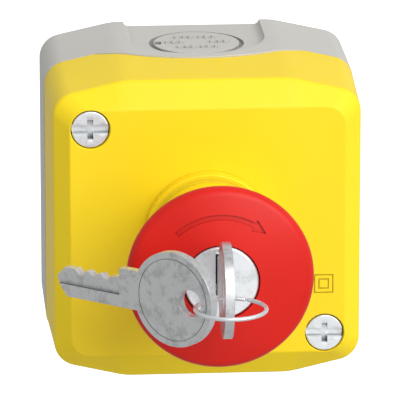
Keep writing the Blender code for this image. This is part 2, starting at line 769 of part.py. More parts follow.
def make_keys():
    bow = Vector((0.0, KEY_RAISE, KEY_CENTRE))
    mesh = key_mesh("inserted_key", Vector((0, 0, -1)), Vector((0, 1, 0)), bow)
    add_part("inserted_key", mesh, nickel_silver, head_axis)

    ring_pivot = make_empty("ring_pivot", (0.0, RING_HEIGHT, RING_BACK), wall_datum)
    ring = bpy.data.meshes.new("key_ring")
    bm = bmesh.new()
    bend = [
        bm.verts.new((RING_RADIUS + x, 0.0, y)) for x, y in circle(RING_WIRE, 8)
    ]
    loop = [bm.edges.new((a, b)) for a, b in zip(bend, bend[1:] + bend[:1])]
    bmesh.ops.spin(
        bm,
        geom=bend + loop,
        cent=(0, 0, 0),
        axis=(0, 0, 1),
        angle=2 * math.pi,
        steps=FINE,
        use_merge=True,
    )
    bmesh.ops.recalc_face_normals(bm, faces=bm.faces)
    bmesh.ops.rotate(bm, matrix=Matrix.Rotation(math.pi / 2, 3, "X"), verts=bm.verts)
    centre = Vector((0.0, RING_HEIGHT, RING_BACK + RING_RADIUS))
    bmesh.ops.translate(bm, vec=centre, verts=bm.verts)
    bm.to_mesh(ring)
    bm.free()
    ring.shade_smooth()
    add_part("key_ring", ring, plated_steel, ring_pivot)

    left = centre - Vector((RING_RADIUS, 0, 0))
    spare_pivot = make_empty("spare_key_pivot", left, wall_datum)
    level = Vector((-math.cos(SPARE_TURN), 0.0, -math.sin(SPARE_TURN)))
    towards_tip = level * math.cos(SPARE_TILT) - Vector((0, 1, 0)) * math.sin(SPARE_TILT)
    bow = left + SPARE_HOLE_SHIFT + towards_tip * KEY_HOLE_OFFSET
    mesh = key_mesh("spare_key", towards_tip, Vector((0, -1, 0)), bow)
    add_part("spare_key", mesh, nickel_silver, spare_pivot)


def make_contact_carrier():
    outlines = [rectangle(CARRIER_WIDTH / 2, CARRIER_HEIGHT / 2)]
    outlines += [circle(OPERATOR_BORE + GAP, COARSE)]
    place = (CARRIER_SCREW_OFFSET, CARRIER_SCREW_OFFSET)
    outlines += [circle(CARRIER_SCREW_RADIUS + GAP, 16, place)]
    mesh = plate_mesh("contact_carrier", outlines, CARRIER_BACK, CARRIER_FRONT)
    add_part("contact_carrier", mesh, black_plastic)
    seat = CARRIER_FRONT + GAP
    head = 2 * CARRIER_SCREW_RADIUS
    tip = CARRIER_BACK - CARRIER_THICKNESS
    profile = [
        (0.0, seat + CARRIER_SCREW_RADIUS),
        (head, seat + CARRIER_SCREW_RADIUS),
        (head, seat),
        (CARRIER_SCREW_RADIUS, seat),
        (CARRIER_SCREW_RADIUS, tip),
        (0.0, tip),
    ]
    axis = make_empty("carrier_screw_axis", (*place, 0.0), wall_datum)
    screw = turned("carrier_screw", profile, plated_steel, axis, 24, closed=False)
    screw.location = (0.0, 0.0, 0.0)


def make_contact_block(kind, x, contact_depth, bridge_depth):
    """One switching block: a housing, a sprung plunger with its bridge, and two terminals."""
    half = BLOCK_WIDTH / 2
    tall = BLOCK_HEIGHT / 2
    low = (x - half, -tall, BLOCK_BACK)
    high = (x + half, tall, BLOCK_FRONT)
    housing = add_part(kind + "_housing", box_mesh(kind + "_housing", low, high), cream_plastic)
    floor = BLOCK_BACK + BLOCK_FLOOR
    way_x = PLUNGER_HALF_WIDTH + GAP
    way_y = PLUNGER_HALF_HEIGHT + GAP
    over = BLOCK_FRONT + BLOCK_FLOOR
    cut(housing, box_mesh(kind + "_plunger_way", (x - way_x, -way_y, floor), (x + way_x, way_y, over)))
    slot_back = contact_depth - PRESS_TRAVEL - 2 * CONTACT_STRIP - 2 * GAP
    slot_front = BLOCK_FRONT - BLOCK_FLOOR - 2 * GAP
    beyond = tall + BLOCK_FLOOR
    slot_low = (x - way_x, -beyond, slot_back)
    slot_high = (x + way_x, beyond, slot_front)
    cut(housing, box_mesh(kind + "_bridge_slot", slot_low, slot_high))
    make_plunger(kind, x, bridge_depth, floor)
    for side, end in ((1, "upper"), (-1, "lower")):
        name = kind + "_" + end
        inner, outer = sorted((side * (TERMINAL_OFFSET - TERMINAL_HALF_WIDTH), side * beyond))
        pocket_low = (x - TERMINAL_HALF_WIDTH, inner, slot_back)
        pocket_high = (x + TERMINAL_HALF_WIDTH, outer, slot_front)
        place = (x, side * TERMINAL_OFFSET)
        access = TERMINAL_HEAD_RADIUS + GAP
        cut(
            housing,
            box_mesh(name + "_pocket", pocket_low, pocket_high),
            cylinder_mesh(name + "_access", access, slot_front - BLOCK_FLOOR, over, place, 24),
        )
        make_terminal(name, place, side, contact_depth)


def make_plunger(kind, x, bridge_depth, floor):
    low = (x - PLUNGER_HALF_WIDTH, -PLUNGER_HALF_HEIGHT, PLUNGER_BACK)
    high = (x + PLUNGER_HALF_WIDTH, PLUNGER_HALF_HEIGHT, PLUNGER_FRONT)
    plunger = add_part(kind + "_plunger", box_mesh(kind + "_plunger", low, high), black_plastic)
    beyond = 2 * PLUNGER_HALF_HEIGHT
    width = BRIDGE_HALF_WIDTH + GAP
    low = (x - width, -beyond, bridge_depth - GAP)
    high = (x + width, beyond, bridge_depth + CONTACT_STRIP + GAP)
    cut(plunger, box_mesh(kind + "_bridge_window", low, high))
    low = (x - BRIDGE_HALF_WIDTH, -BRIDGE_HALF_LENGTH, bridge_depth)
    high = (x + BRIDGE_HALF_WIDTH, BRIDGE_HALF_LENGTH, bridge_depth + CONTACT_STRIP)
    add_part(kind + "_bridge", box_mesh(kind + "_bridge", low, high), silver_brass)
    make_spring(kind + "_return_spring", x, floor + GAP, PLUNGER_BACK - GAP)


def make_spring(name, x, back, front):
    """A coil of wire between two depths."""
    curve = bpy.data.curves.new(name, "CURVE")
    curve.dimensions = "3D"
    curve.bevel_depth = SPRING_WIRE / 2
    curve.bevel_resolution = 1
    curve.use_fill_caps = True
    spline = curve.splines.new("POLY")
    per_turn = 8
    count = SPRING_TURNS * per_turn
    spline.points.add(count)
    start = back + SPRING_WIRE
    rise = front - back - 2 * SPRING_WIRE
    for i, point in enumerate(spline.points):
        angle = 2 * math.pi * i / per_turn
        across = SPRING_RADIUS * math.cos(angle)
        up = SPRING_RADIUS * math.sin(angle)
        point.co = (x + across, up, start + rise * i / count, 1.0)
    spring = bpy.data.objects.new(name, curve)
    parts.objects.link(spring)
    curve.materials.append(plated_steel)
    spring.parent = wall_datum


def make_terminal(name, place, side, depth):
    x, y = place
    outline = [
        (x - CONTACT_HALF_WIDTH, side * CONTACT_INNER),
        (x + CONTACT_HALF_WIDTH, side * CONTACT_INNER),
        (x + CONTACT_HALF_WIDTH, side * CONTACT_OUTER),
        (x - CONTACT_HALF_WIDTH, side * CONTACT_OUTER),
    ]
    hole = circle(TERMINAL_SHANK_RADIUS + GAP, 16, place)
    strip = plate_mesh(name + "_contact", [outline, hole], depth, depth + CONTACT_STRIP)
    add_part(name + "_contact", strip, silver_brass)
    seat = depth + CONTACT_STRIP + GAP
    tip = depth - TERMINAL_SHANK_LENGTH
    profile = [
        (0.0, seat + TERMINAL_HEAD_HEIGHT),
        (TERMINAL_HEAD_RADIUS, seat + TERMINAL_HEAD_HEIGHT),
        (TERMINAL_HEAD_RADIUS, seat),
        (TERMINAL_SHANK_RADIUS, seat),
        (TERMINAL_SHANK_RADIUS, tip),
        (0.0, tip),
    ]
    axis = make_empty(name + "_screw_axis", (x, y, 0.0), wall_datum)
    screw = turned(name + "_screw", profile, plated_steel, axis, 20, closed=False)
    screw.location = (0.0, 0.0, 0.0)


def make_contact_blocks():
    """A block that opens when the button is pressed, and beside it one that closes."""
    nc_contact = BLOCK_FRONT - CONTACT_DEPTH_NC
    nc_bridge = nc_contact - GAP - CONTACT_STRIP
    make_contact_block("nc", -BLOCK_SPACING / 2, nc_contact, nc_bridge)
    no_bridge = nc_contact
    no_contact = no_bridge - PRESS_TRAVEL - GAP - CONTACT_STRIP
    make_contact_block("no", BLOCK_SPACING / 2, no_contact, no_bridge)


clear_scene()
parts = make_collection("emergency_stop_station")
cutters = make_collection("cutters", hidden=True)

grey = make_material("light_grey_polycarbonate", (0.60, 0.60, 0.57), 0.45)
yellow = make_material("yellow_polycarbonate", (0.95, 0.72, 0.03), 0.40)
red = make_material("red_polyamide", (0.75, 0.03, 0.02), 0.40)
black_plastic = make_material("black_polyamide", (0.03, 0.03, 0.03), 0.50)
cream_plastic = make_material("pale_polyamide", (0.75, 0.72, 0.65), 0.50)
black_rubber = make_material("black_nitrile", (0.02, 0.02, 0.02), 0.80)
nickel = make_material("nickel_plated_zinc", (0.75, 0.77, 0.78), 0.30, 1.0)
nickel_silver = make_material("nickel_silver", (0.65, 0.66, 0.66), 0.35, 1.0)
plated_steel = make_material("zinc_plated_steel", (0.62, 0.66, 0.68), 0.30, 1.0)
zinc = make_material("die_cast_zinc", (0.45, 0.46, 0.47), 0.45, 1.0)
silver_brass = make_material("silvered_brass", (0.80, 0.72, 0.45), 0.35, 1.0)

wall_datum = make_empty("wall_datum", (0, 0, 0), None)
wall_datum.rotation_euler = (math.pi / 2, 0, 0)
head_axis = make_empty("head_axis", (0, 0, HEAD_BACK), wall_datum)

make_rear_base()
make_front_lid()
make_lid_gasket()
for screw_name, screw_place in screw_places().items():
    make_cover_screw(screw_name, screw_place)
make_button_bezel()
make_seals()
make_operator_body()
make_fixing_nut()
make_contact_carrier()
make_contact_blocks()
make_head()
make_lock()
make_keys()
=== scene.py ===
"""Looks of a key-release emergency stop station, built over its CAD model.

Every piece that shows is made again with rounded edges and surface detail, and takes the place of
its CAD solid. The pieces are laid out in the station's own frame, X to the right, Y up and Z out
of the wall, and are stood up against the wall (the plane Y = 0) when they are fitted.
"""

import json
import math

import bmesh
import bpy
from bpy.props import FloatProperty, FloatVectorProperty, PointerProperty
from mathutils import Matrix, Vector


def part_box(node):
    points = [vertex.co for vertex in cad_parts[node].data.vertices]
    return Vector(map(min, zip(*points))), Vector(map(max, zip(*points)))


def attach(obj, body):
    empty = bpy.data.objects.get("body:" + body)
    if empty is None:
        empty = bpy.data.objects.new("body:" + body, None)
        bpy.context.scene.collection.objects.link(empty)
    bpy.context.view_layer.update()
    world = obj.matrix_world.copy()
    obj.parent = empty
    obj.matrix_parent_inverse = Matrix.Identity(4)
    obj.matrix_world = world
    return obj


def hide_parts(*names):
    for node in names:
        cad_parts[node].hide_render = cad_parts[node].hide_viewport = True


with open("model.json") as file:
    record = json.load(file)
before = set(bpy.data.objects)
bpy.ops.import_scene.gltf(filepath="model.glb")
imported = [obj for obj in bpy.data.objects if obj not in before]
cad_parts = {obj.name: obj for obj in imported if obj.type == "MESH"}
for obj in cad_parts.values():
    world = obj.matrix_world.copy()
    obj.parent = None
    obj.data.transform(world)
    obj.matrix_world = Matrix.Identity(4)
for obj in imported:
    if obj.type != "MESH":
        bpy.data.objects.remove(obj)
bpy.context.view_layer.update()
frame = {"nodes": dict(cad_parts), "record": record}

bl_info = {
    "name": "Emergency stop station",
    "version": (1, 0, 0),
    "blender": (4, 5, 0),
    "location": "3D View > Sidebar > Stop station",
    "description": "Builds the visible pieces, surfaces and stage of a key-release emergency stop",
    "category": "Object",
}

BODIES = frame["record"]["behaviour"]["bodies"]
BODY_OF_NODE = {node: body for body, nodes in BODIES.items() for node in nodes}
STAND_UP = Matrix.Rotation(math.pi / 2, 4, "X")
UP = Vector((0.0, 1.0, 0.0))
SHARP_FROM = math.radians(32)
BREAK_FROM = math.radians(35)


def station_box(node):
    """Lowest and highest corners of a CAD piece in the station's frame."""
    low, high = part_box(node)
    return Vector((low.x, low.z, -high.y)), Vector((high.x, high.z, -low.y))


# Sizes read from the frame
BASE_HIGH = station_box("rear_base")[1]
LID_HIGH = station_box("front_lid")[1]
BEZEL_LOW, BEZEL_HIGH = station_box("button_bezel")
HEAD_LOW, HEAD_HIGH = station_box("mushroom_head")
LOCK_LOW, LOCK_HIGH = station_box("lock_plug")
STEM_LOW, STEM_HIGH = station_box("head_stem")
LATCH_LOW, LATCH_HIGH = station_box("latch_bolt")
KEY_LOW, KEY_HIGH = station_box("inserted_key")
RING_LOW, RING_HIGH = station_box("key_ring")
SCREW_LOW, SCREW_HIGH = station_box("cover_screw_upper")

HALF_WIDTH = BASE_HIGH.x
HALF_HEIGHT = BASE_HIGH.y
FACE = LID_HIGH.z
NECK_TOP = BEZEL_HIGH.z
HEAD_BACK = HEAD_LOW.z
HEAD_FRONT = HEAD_HIGH.z
LOCK_FRONT = LOCK_HIGH.z
SCREW_RADIUS = (SCREW_HIGH.x - SCREW_LOW.x) / 2
SCREW_PLACES = {"upper": (SCREW_LOW + SCREW_HIGH) / 2, "lower": -(SCREW_LOW + SCREW_HIGH) / 2}
KEY_THICKNESS = KEY_HIGH.x - KEY_LOW.x
BOW_RADIUS = (KEY_HIGH.y - KEY_LOW.y) / 2
BOW_CENTRE = Vector((0.0, KEY_HIGH.y - BOW_RADIUS, KEY_HIGH.z - BOW_RADIUS))
WIRE_RADIUS = (RING_HIGH.y - RING_LOW.y) / 2
RING_RADIUS = RING_HIGH.x - WIRE_RADIUS
RING_CENTRE = (RING_LOW + RING_HIGH) / 2

# Enclosure
GAP = 0.0003
WALL = 0.0026
SIDE_DEPTH = 0.0245
PARTING_CREST = 0.0086
PARTING_RADIUS = 0.035
LID_SKIRT = 0.025
LID_EDGE = SIDE_DEPTH + LID_SKIRT
LID_DRAFT = 0.0008
CEILING = FACE - 0.0027
LEVEL_HALF_WIDTH = 0.0179
SHOULDER_DROP = 0.0036
CORNER_REACH = 0.0042
BREAK_REACH = 0.0018
FACE_SIDE_INSET = 0.0035
FACE_TOP_INSET = 0.0057
RECESS_HALF_WIDTH = 0.0152
RECESS_DEPTH = 0.00115
RECESS_FLOOR = HALF_HEIGHT - RECESS_DEPTH
RECESS_FRONT = 0.0304
KNOCKOUT_CENTRE = 0.0168
KNOCKOUT_RADIUS = 0.0105
KNOCKOUT_GROOVE = 0.0008
NOTCH_OFFSET = 0.002
NOTCH_WIDTH = 0.0014
NOTCH_LENGTH = 0.0024
BEAD_GROUPS = 6
BEAD_CIRCLE = 0.005
BEAD_PITCH = 0.0015
MOUNTING_HOLE_RADIUS = 0.0022
MOUNTING_HOLE_OFFSET = 0.024
INSULATION_MARK = (0.025, -0.0121)
INSULATION_SQUARES = (0.00198, 0.00102)

# Fasteners
SHANK_RADIUS = 0.0019
SCREW_TOP = SCREW_HIGH.z
SCREW_HEAD_HEIGHT = 0.0026
SCREW_SLOT_WIDTH = 0.002
SCREW_CROSS_WIDTH = 0.00125
SCREW_CROSS_LENGTH = 0.0043
SCREW_RECESS = 0.0018
RECESS_EDGE = 0.00009
COUNTERBORE_CLEARANCE = 0.00025
BASE_BOSS_RADIUS = 0.0036
LID_BOSS_RADIUS = 0.0055

# Button
THREAD_RADIUS = 0.011
OPERATOR_BORE = 0.0095
NECK_RADIUS = 0.0123
GASKET_RIM = 0.0133
COLLAR_LEDGE = FACE + 0.0033
GASKET_REBATE = FACE + 0.0017
NECK_EDGE = 0.0005
LEDGE_FILLET = 0.0002
COLLAR_EDGE = 0.0003
LIP_BACK = NECK_TOP - 0.0014
RIM_ROUND = 0.0022
RIM_RADIUS = HEAD_HIGH.x - RIM_ROUND
DOME_RADIUS = 0.06
RIM_SLOPE = math.asin(RIM_RADIUS / DOME_RADIUS)
SKIRT_ANGLE = math.radians(19.6)
HEAD_WALL = 0.0017
HEAD_FILLET = 0.001
STEM_SOCKET = 0.0042
LOCK_FACE_RADIUS = LOCK_HIGH.x
LOCK_CHAMFER = 0.0004
LOCK_EDGE = 0.00006
HEAD_BORE = LOCK_FACE_RADIUS + 0.00025
LOCK_FACE_BACK = LOCK_FRONT - 0.0026
PLUG_RADIUS = 0.0067
KEYWAY_DEPTH = 0.0015
STEM_WALL = 0.0011
STEM_EDGE = 0.0003
ARROW_RADIUS = (HEAD_BORE + HEAD_HIGH.x) / 2 - 0.0001
ARROW_BARB = 2.4
ARROW_ANGLES = tuple(math.radians(angle) for angle in (132, 60, 47))

# Keys
SPINE = 0.0038
TAB_HEIGHT = 0.0084
TAB_END = 0.0137
BLADE_HEIGHT = 0.0063
KEY_TIP = 0.03
TIP_CHAMFER = 0.0021
TIP_SLANT = 0.0031
KEY_HOLE_RADIUS = 0.0028
KEY_HOLE_OFFSET = 0.0044
BITTING_START = 0.0171
BITTING_PITCH = 0.0033
BITTING_RAMP = 0.0009
BITTING_FLAT = 0.0004
BITTING_DEPTHS = (0.0008, 0.0007, 0.001)
CHANNEL_TOP = 0.0011
CHANNEL_BED = 0.0032
CHANNEL_BOTTOM = 0.0037
BOW_LINE_RADIUS = 0.85 * BOW_RADIUS
BOW_LINE_WIDTH = 0.0002
SPARE_TURN = math.radians(41.0)
SPARE_TILT = math.radians(1.0)
RING_JOINT_ANGLE = math.radians(-60.0)
SPARE_HOLE_SHIFT = Vector((-0.0005, 0.00128, -0.001))

# View of the station
VIEW_AZIMUTH = math.radians(-4.159)
VIEW_ELEVATION = math.radians(15.995)
VIEW_DISTANCE = 1.060153
VIEW_AIM = Vector((-0.002316, -0.06, 0.009264))
VIEW_LENS = 446.97
FLOOR_RADIUS = 4.0
FLOOR_TOP = -0.22
FLOOR_DEPTH = 0.01
BRIGHT_SIDE = (0.6, -0.25, 0.76)
ROOM_STRENGTHS = (0.45, 0.69)
LARGE_LIGHT = {"place": (0.4, -0.7, 0.48), "size": 0.9, "power": 7.0}
LIGHT_AIM = Vector((0.0, -0.07, 0.0))
LOW_CARD = {"place": (0.1, -1.2, -0.32), "size": 1.1, "power": 1.1}


def both(*pieces):
    """Pieces of the contact blocks, in the one that opens (nc) and the one that closes (no)."""
    return [f"{block}_{piece}" for block in ("nc", "no") for piece in pieces]


# Kept CAD pieces, by the slot that names their finish
KEPT_NODES = {
    "black_plastic": ("operator_body", "contact_carrier", "actuator_plate", *both("plunger")),
    "pale_plastic": both("housing"),
    "black_rubber": ("lid_gasket", "bezel_gasket", "neck_seal"),
    "die_cast_zinc": ("fixing_nut", "lock_barrel", "lock_cam"),
    "plated_steel": (
        "carrier_screw",
        "latch_bolt",
        *both("return_spring", "upper_screw", "lower_screw"),
    ),
    "silvered_brass": both("upper_contact", "lower_contact", "bridge"),
}


def linear(hex_colour):
    """An sRGB hex colour as linear red, green, blue and full alpha."""
    shares = [int(hex_colour[i : i + 2], 16) / 255 for i in (0, 2, 4)]
    return [s / 12.92 if s <= 0.04045 else ((s + 0.055) / 1.055) ** 2.4 for s in shares] + [1.0]


def length(name, description, millimetres, most):
    limits = {"min": 0.00001, "max": most / 1000, "precision": 5, "unit": "LENGTH"}
    default = millimetres / 1000
    return FloatProperty(name=name, description=description, default=default, **limits)


def colour(name, description, hex_colour):
    limits = {"size": 4, "min": 0.0, "max": 1.0, "subtype": "COLOR"}
    default = linear(hex_colour)
    return FloatVectorProperty(name=name, description=description, default=default, **limits)


class StationSizes(bpy.types.PropertyGroup):
    """Sizes of the fine detail, which stays inside the CAD solids' outlines."""

    lid_edge: length("Lid edge", "How far the lid's outer edge is rounded", 0.6, 2.0)
    face_edge: length("Face edge", "How far the edge round the lid's face is rounded", 0.35, 1.5)
    base_edge: length("Base edge", "How far the base's rear edge is rounded", 0.6, 1.5)
    mouth_chamfer: length("Hole mouth", "Chamfer round the screw holes in the lid", 0.2, 0.5)
    knockout_width: length("Knockout groove", "Width of the groove round a knockout", 1.0, 1.5)
    knockout_raise: length("Knockout rise", "How far a knockout's disc stands up", 0.2, 0.5)
    bead_height: length("Bead height", "Height of the raised beads on a knockout", 0.4, 0.7)
    mark_width: length("Mark line", "Line width of the square marks on the lid", 0.28, 0.5)
    mark_depth: length("Mark depth", "Depth of the square marks on the lid", 0.22, 0.4)
    arrow_depth: length("Arrow depth", "Depth of the release arrow on the head", 0.4, 0.8)
    arrow_width: length("Arrow width", "Width of the release arrow's band", 1.1, 2.0)
    screw_edge: length("Screw edge", "Rounding of the cover screws' heads", 0.25, 0.5)
    key_edge: length("Key edge", "Edge broken along the keys", 0.14, 0.3)
    key_groove: length("Key channel", "Depth of the channel along a key's blade", 0.45, 0.6)
    ring_joint: length("Ring joint", "Opening between the ends of the ring's wire", 0.12, 0.5)


class StationColours(bpy.types.PropertyGroup):
    """Base colours of the materials."""

    yellow: colour("Yellow", "Moulded lid and collar", "FFDF1C")
    grey: colour("Grey", "Moulded rear base", "CDCBC5")
    red: colour("Red", "Moulded mushroom head", "DC1D12")
    black: colour("Black", "Moulded inner pieces", "242424")
    pale: colour("Pale", "Moulded switch housings", "DAD5C8")
    rubber: colour("Rubber", "Seals", "1C1C1C")
    nickel: colour("Nickel plate", "Face of the lock", "F4F7F9")
    key: colour("Nickel silver", "Keys", "E6E7E8")
    steel: colour("Zinc plate", "Screws, springs and ring", "ECF1F4")
    zinc: colour("Cast zinc", "Nut, stem and lock body", "B9BBBE")
    silver: colour("Silvered brass", "Contacts", "D8CBA2")
    floor: colour("Floor", "Floor under the station", "F6F6F5")


# Outlines and meshes


def polar(radius, angle, centre=(0.0, 0.0)):
    return (centre[0] + radius * math.cos(angle), centre[1] + radius * math.sin(angle))


def arc(centre, radius, start, end, steps):
    """Points of an arc, from one angle to another."""
    angles = [start + (end - start) * i / steps for i in range(steps + 1)]
    return [polar(radius, angle, centre) for angle in angles]


def circle(radius, facets, centre=(0.0, 0.0)):
    return arc(centre, radius, 0.0, 2 * math.pi, facets)[:-1]


def round_corner(before, corner, after, reach, steps):
    """The arc that rounds a corner, starting and ending this far from it."""
    before, corner, after = Vector(before), Vector(corner), Vector(after)
    inward = (before - corner).normalized()
    outward = (after - corner).normalized()
    start = corner + inward * reach
    end = corner + outward * reach
    weight = math.sqrt(max(0.0, (1 - inward.dot(outward)) / 2))
    points = []
    for i in range(steps + 1):
        t = i / steps
        shares = ((1 - t) ** 2, 2 * weight * t * (1 - t), t**2)
        point = start * shares[0] + corner * shares[1] + end * shares[2]
        points.append(tuple(point / sum(shares)))
    return points


def rounded_profile(corners, steps=5):
    """A profile from (radius, depth) corners, those with a third number rounded to that reach."""
    points = []
    for i, (radius, depth, *reach) in enumerate(corners):
        if reach:
            before = corners[i - 1][:2]
            after = corners[(i + 1) % len(corners)][:2]
            points += round_corner(before, (radius, depth), after, *reach, steps)
        else:
            points.append((radius, depth))
    return points


def box_outline(half_width, half_height, drop=SHOULDER_DROP, corner=CORNER_REACH):
    """The enclosure's outline: level in the middle of its top and bottom, sloping to the sides."""
    side = (half_width, 0.0)
    shoulder = (half_width, half_height - drop)
    crest = (LEVEL_HALF_WIDTH, half_height)
    middle = (0.0, half_height)
    quarter = round_corner(side, shoulder, crest, corner, 12)
    quarter += round_corner(shoulder, crest, middle, BREAK_REACH, 4)
    upper = quarter + [(-x, y) for x, y in reversed(quarter)]
    return upper + [(-x, -y) for x, y in upper]


def ring_at(outline, depth):
    return [(x, y, depth) for x, y in outline]


def rounded_edge(before, corners, after, reach, steps=5):
    """Rings of points that round the edge where two bands of a skin meet."""
    arcs = [round_corner(*three, reach, steps) for three in zip(before, corners, after)]
    return [list(ring) for ring in zip(*arcs)]


def shrunk(ring):
    """A ring drawn in towards the button's axis."""
    return [(x * 0.8, y * 0.8, depth) for x, y, depth in ring]


def finish_mesh(bm, name):
    bmesh.ops.recalc_face_normals(bm, faces=bm.faces)
    mesh = bpy.data.meshes.new(name)
    bm.to_mesh(mesh)
    bm.free()
    return mesh


def skin_over(bm, rings):
    """Adds a closed skin through rings that have the same number of points."""
    rings = [[bm.verts.new(point) for point in ring] for ring in rings]
    for lower, upper in zip(rings, rings[1:]):
        for i, vert in enumerate(lower):
            after = (i + 1) % len(lower)
            bm.faces.new((vert, lower[after], upper[after], upper[i]))
    bm.faces.new(rings[0])
    bm.faces.new(rings[-1])


def lofted(name, rings):
    bm = bmesh.new()
    skin_over(bm, rings)
    return finish_mesh(bm, name)


def prism(name, outline, back, front):
    return lofted(name, [ring_at(outline, back), ring_at(outline, front)])


def turned(name, profile, place=(0.0, 0.0), facets=96):
    """A profile of (radius, depth) points turned about an axis that stands at this place. It is
    closed unless it starts and ends on the axis."""
    bm = bmesh.new()
    verts = [bm.verts.new((radius, 0.0, depth)) for radius, depth in profile]
    pairs = list(zip(verts, verts[1:]))
    if profile[0][0] or profile[-1][0]:
        pairs.append((verts[-1], verts[0]))
    edges = [bm.edges.new(pair) for pair in pairs]
    turn = {"cent": (0, 0, 0), "axis": (0, 0, 1), "angle": 2 * math.pi, "steps": facets}
    bmesh.ops.spin(bm, geom=verts + edges, use_merge=True, **turn)
    bmesh.ops.remove_doubles(bm, verts=bm.verts, dist=1e-7)
    bmesh.ops.translate(bm, vec=(place[0], place[1], 0), verts=bm.verts)
    return finish_mesh(bm, name)


def rod(name, radius, back, front, place=(0.0, 0.0), facets=48):
    return prism(name, circle(radius, facets, place), back, front)


def rectangle(half_width, half_height, centre=(0.0, 0.0)):
    x, y = centre
    return [
        (x - half_width, y - half_height),
        (x + half_width, y - half_height),
        (x + half_width, y + half_height),
        (x - half_width, y + half_height),
    ]


def on_the_end(mesh, side):
    """Turns a mesh drawn over (x, depth), with its height as Z, onto the top or the underside."""
    mesh.transform(Matrix(((1, 0, 0, 0), (0, 0, side, 0), (0, 1, 0, 0), (0, 0, 0, 1))))
    if side > 0:
        mesh.flip_normals()
    return mesh


def parting_line(offset=0.0):
    """Points (x, depth) of the joint between base and lid, which bows forward in the middle."""
    half_chord = math.sqrt(PARTING_RADIUS**2 - (PARTING_RADIUS - PARTING_CREST) ** 2)
    centre = (0.0, SIDE_DEPTH + PARTING_CREST - PARTING_RADIUS)
    reach = math.asin(half_chord / PARTING_RADIUS)
    bow = arc(centre, PARTING_RADIUS, math.pi / 2 + reach, math.pi / 2 - reach, 40)
    line = [(-2 * HALF_WIDTH, SIDE_DEPTH)] + bow + [(2 * HALF_WIDTH, SIDE_DEPTH)]
    return [(x, depth + offset) for x, depth in line]


def parting_block(name, lower, upper):
    """Everything between two lines of (x, depth) points, over the enclosure's whole height."""
    outline = lower + list(reversed(upper))
    rings = [[(x, y, depth) for x, depth in outline] for y in (-2 * HALF_HEIGHT, 2 * HALF_HEIGHT)]
    return lofted(name, rings)


def level_line(depth):
    return [(-2 * HALF_WIDTH, depth), (2 * HALF_WIDTH, depth)]


# Pieces


def new_piece(mesh):
    piece = bpy.data.objects.new(mesh.name, mesh)
    bpy.context.scene.collection.objects.link(piece)
    return piece


def settle(piece):
    """Makes a piece's modifiers part of its mesh."""
    graph = bpy.context.evaluated_depsgraph_get()
    before = piece.data
    piece.data = bpy.data.meshes.new_from_object(piece.evaluated_get(graph))
    piece.modifiers.clear()
    bpy.data.meshes.remove(before)


def shape(piece, operation, *meshes):
    """Cuts meshes from a piece, joins them on or keeps what they share, and clears them away."""
    tools = []
    for mesh in meshes:
        tool = new_piece(mesh)
        modifier = piece.modifiers.new(operation, "BOOLEAN")
        modifier.operation = operation
        modifier.object = tool
        modifier.solver = "EXACT"
        tools.append(tool)
    settle(piece)
    for tool in tools:
        mesh = tool.data
        bpy.data.objects.remove(tool)
        bpy.data.meshes.remove(mesh)
    if not piece.data.polygons:
        raise RuntimeError(f"{piece.name}: {operation} left nothing")


def break_edges(piece, width, segments=2):
    """Rounds every sharp edge that a piece has so far."""
    bevel = piece.modifiers.new("edges", "BEVEL")
    bevel.width = width
    bevel.segments = segments
    bevel.limit_method = "ANGLE"
    bevel.angle_limit = BREAK_FROM
    bevel.use_clamp_overlap = True
    settle(piece)


def fit(piece, name, node, slot):
    """Stands a finished piece up in the place of its CAD node, on that node's body."""
    piece.name = name
    piece.data.name = name
    piece.data.transform(STAND_UP)
    piece.data.shade_smooth()
    piece.data.set_sharp_from_angle(angle=SHARP_FROM)
    piece.data.materials.clear()
    piece.data.materials.append(finish_for(slot))
    weights = piece.modifiers.new("smooth_faces", "WEIGHTED_NORMAL")
    weights.keep_sharp = True
    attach(piece, BODY_OF_NODE[node])
    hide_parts(node)


# Materials


def add_node(tree, kind, settings=None, links=None):
    """Adds one node, with properties and sockets set by name or number and inputs linked."""
    node = tree.nodes.new(kind)
    for key, value in (settings or {}).items():
        if isinstance(key, int) or key in node.inputs:
            node.inputs[key].default_value = value
        else:
            setattr(node, key, value)
    for key, source in (links or {}).items():
        tree.links.new(source, node.inputs[key])
    return node


def surface(name, base, settings):
    """A material's node tree, its shader, and the object's own coordinates to draw with."""
    made = bpy.data.materials.new(name)
    made.diffuse_color = base
    made.use_nodes = True
    tree = made.node_tree
    shader = tree.nodes["Principled BSDF"]
    for key, value in settings.items():
        shader.inputs[key].default_value = value
    place = add_node(tree, "ShaderNodeTexCoord").outputs["Object"]
    return made, tree, shader, place


def noise(tree, place, millimetres, detail=3.0, roughness=0.5):
    """Noise in a pattern of this size."""
    settings = {"Scale": 1000 / millimetres, "Detail": detail, "Roughness": roughness}
    return add_node(tree, "ShaderNodeTexNoise", settings, {"Vector": place}).outputs["Fac"]


def spread(tree, value, low, high, least=0.3, most=0.7):
    """A noise value stretched from its usual range onto low to high."""
    settings = {"From Min": least, "From Max": most, "To Min": low, "To Max": high}
    return add_node(tree, "ShaderNodeMapRange", settings, {"Value": value}).outputs["Result"]


def shade_of(base, share):
    return [channel * share for channel in base[:3]] + [1.0]


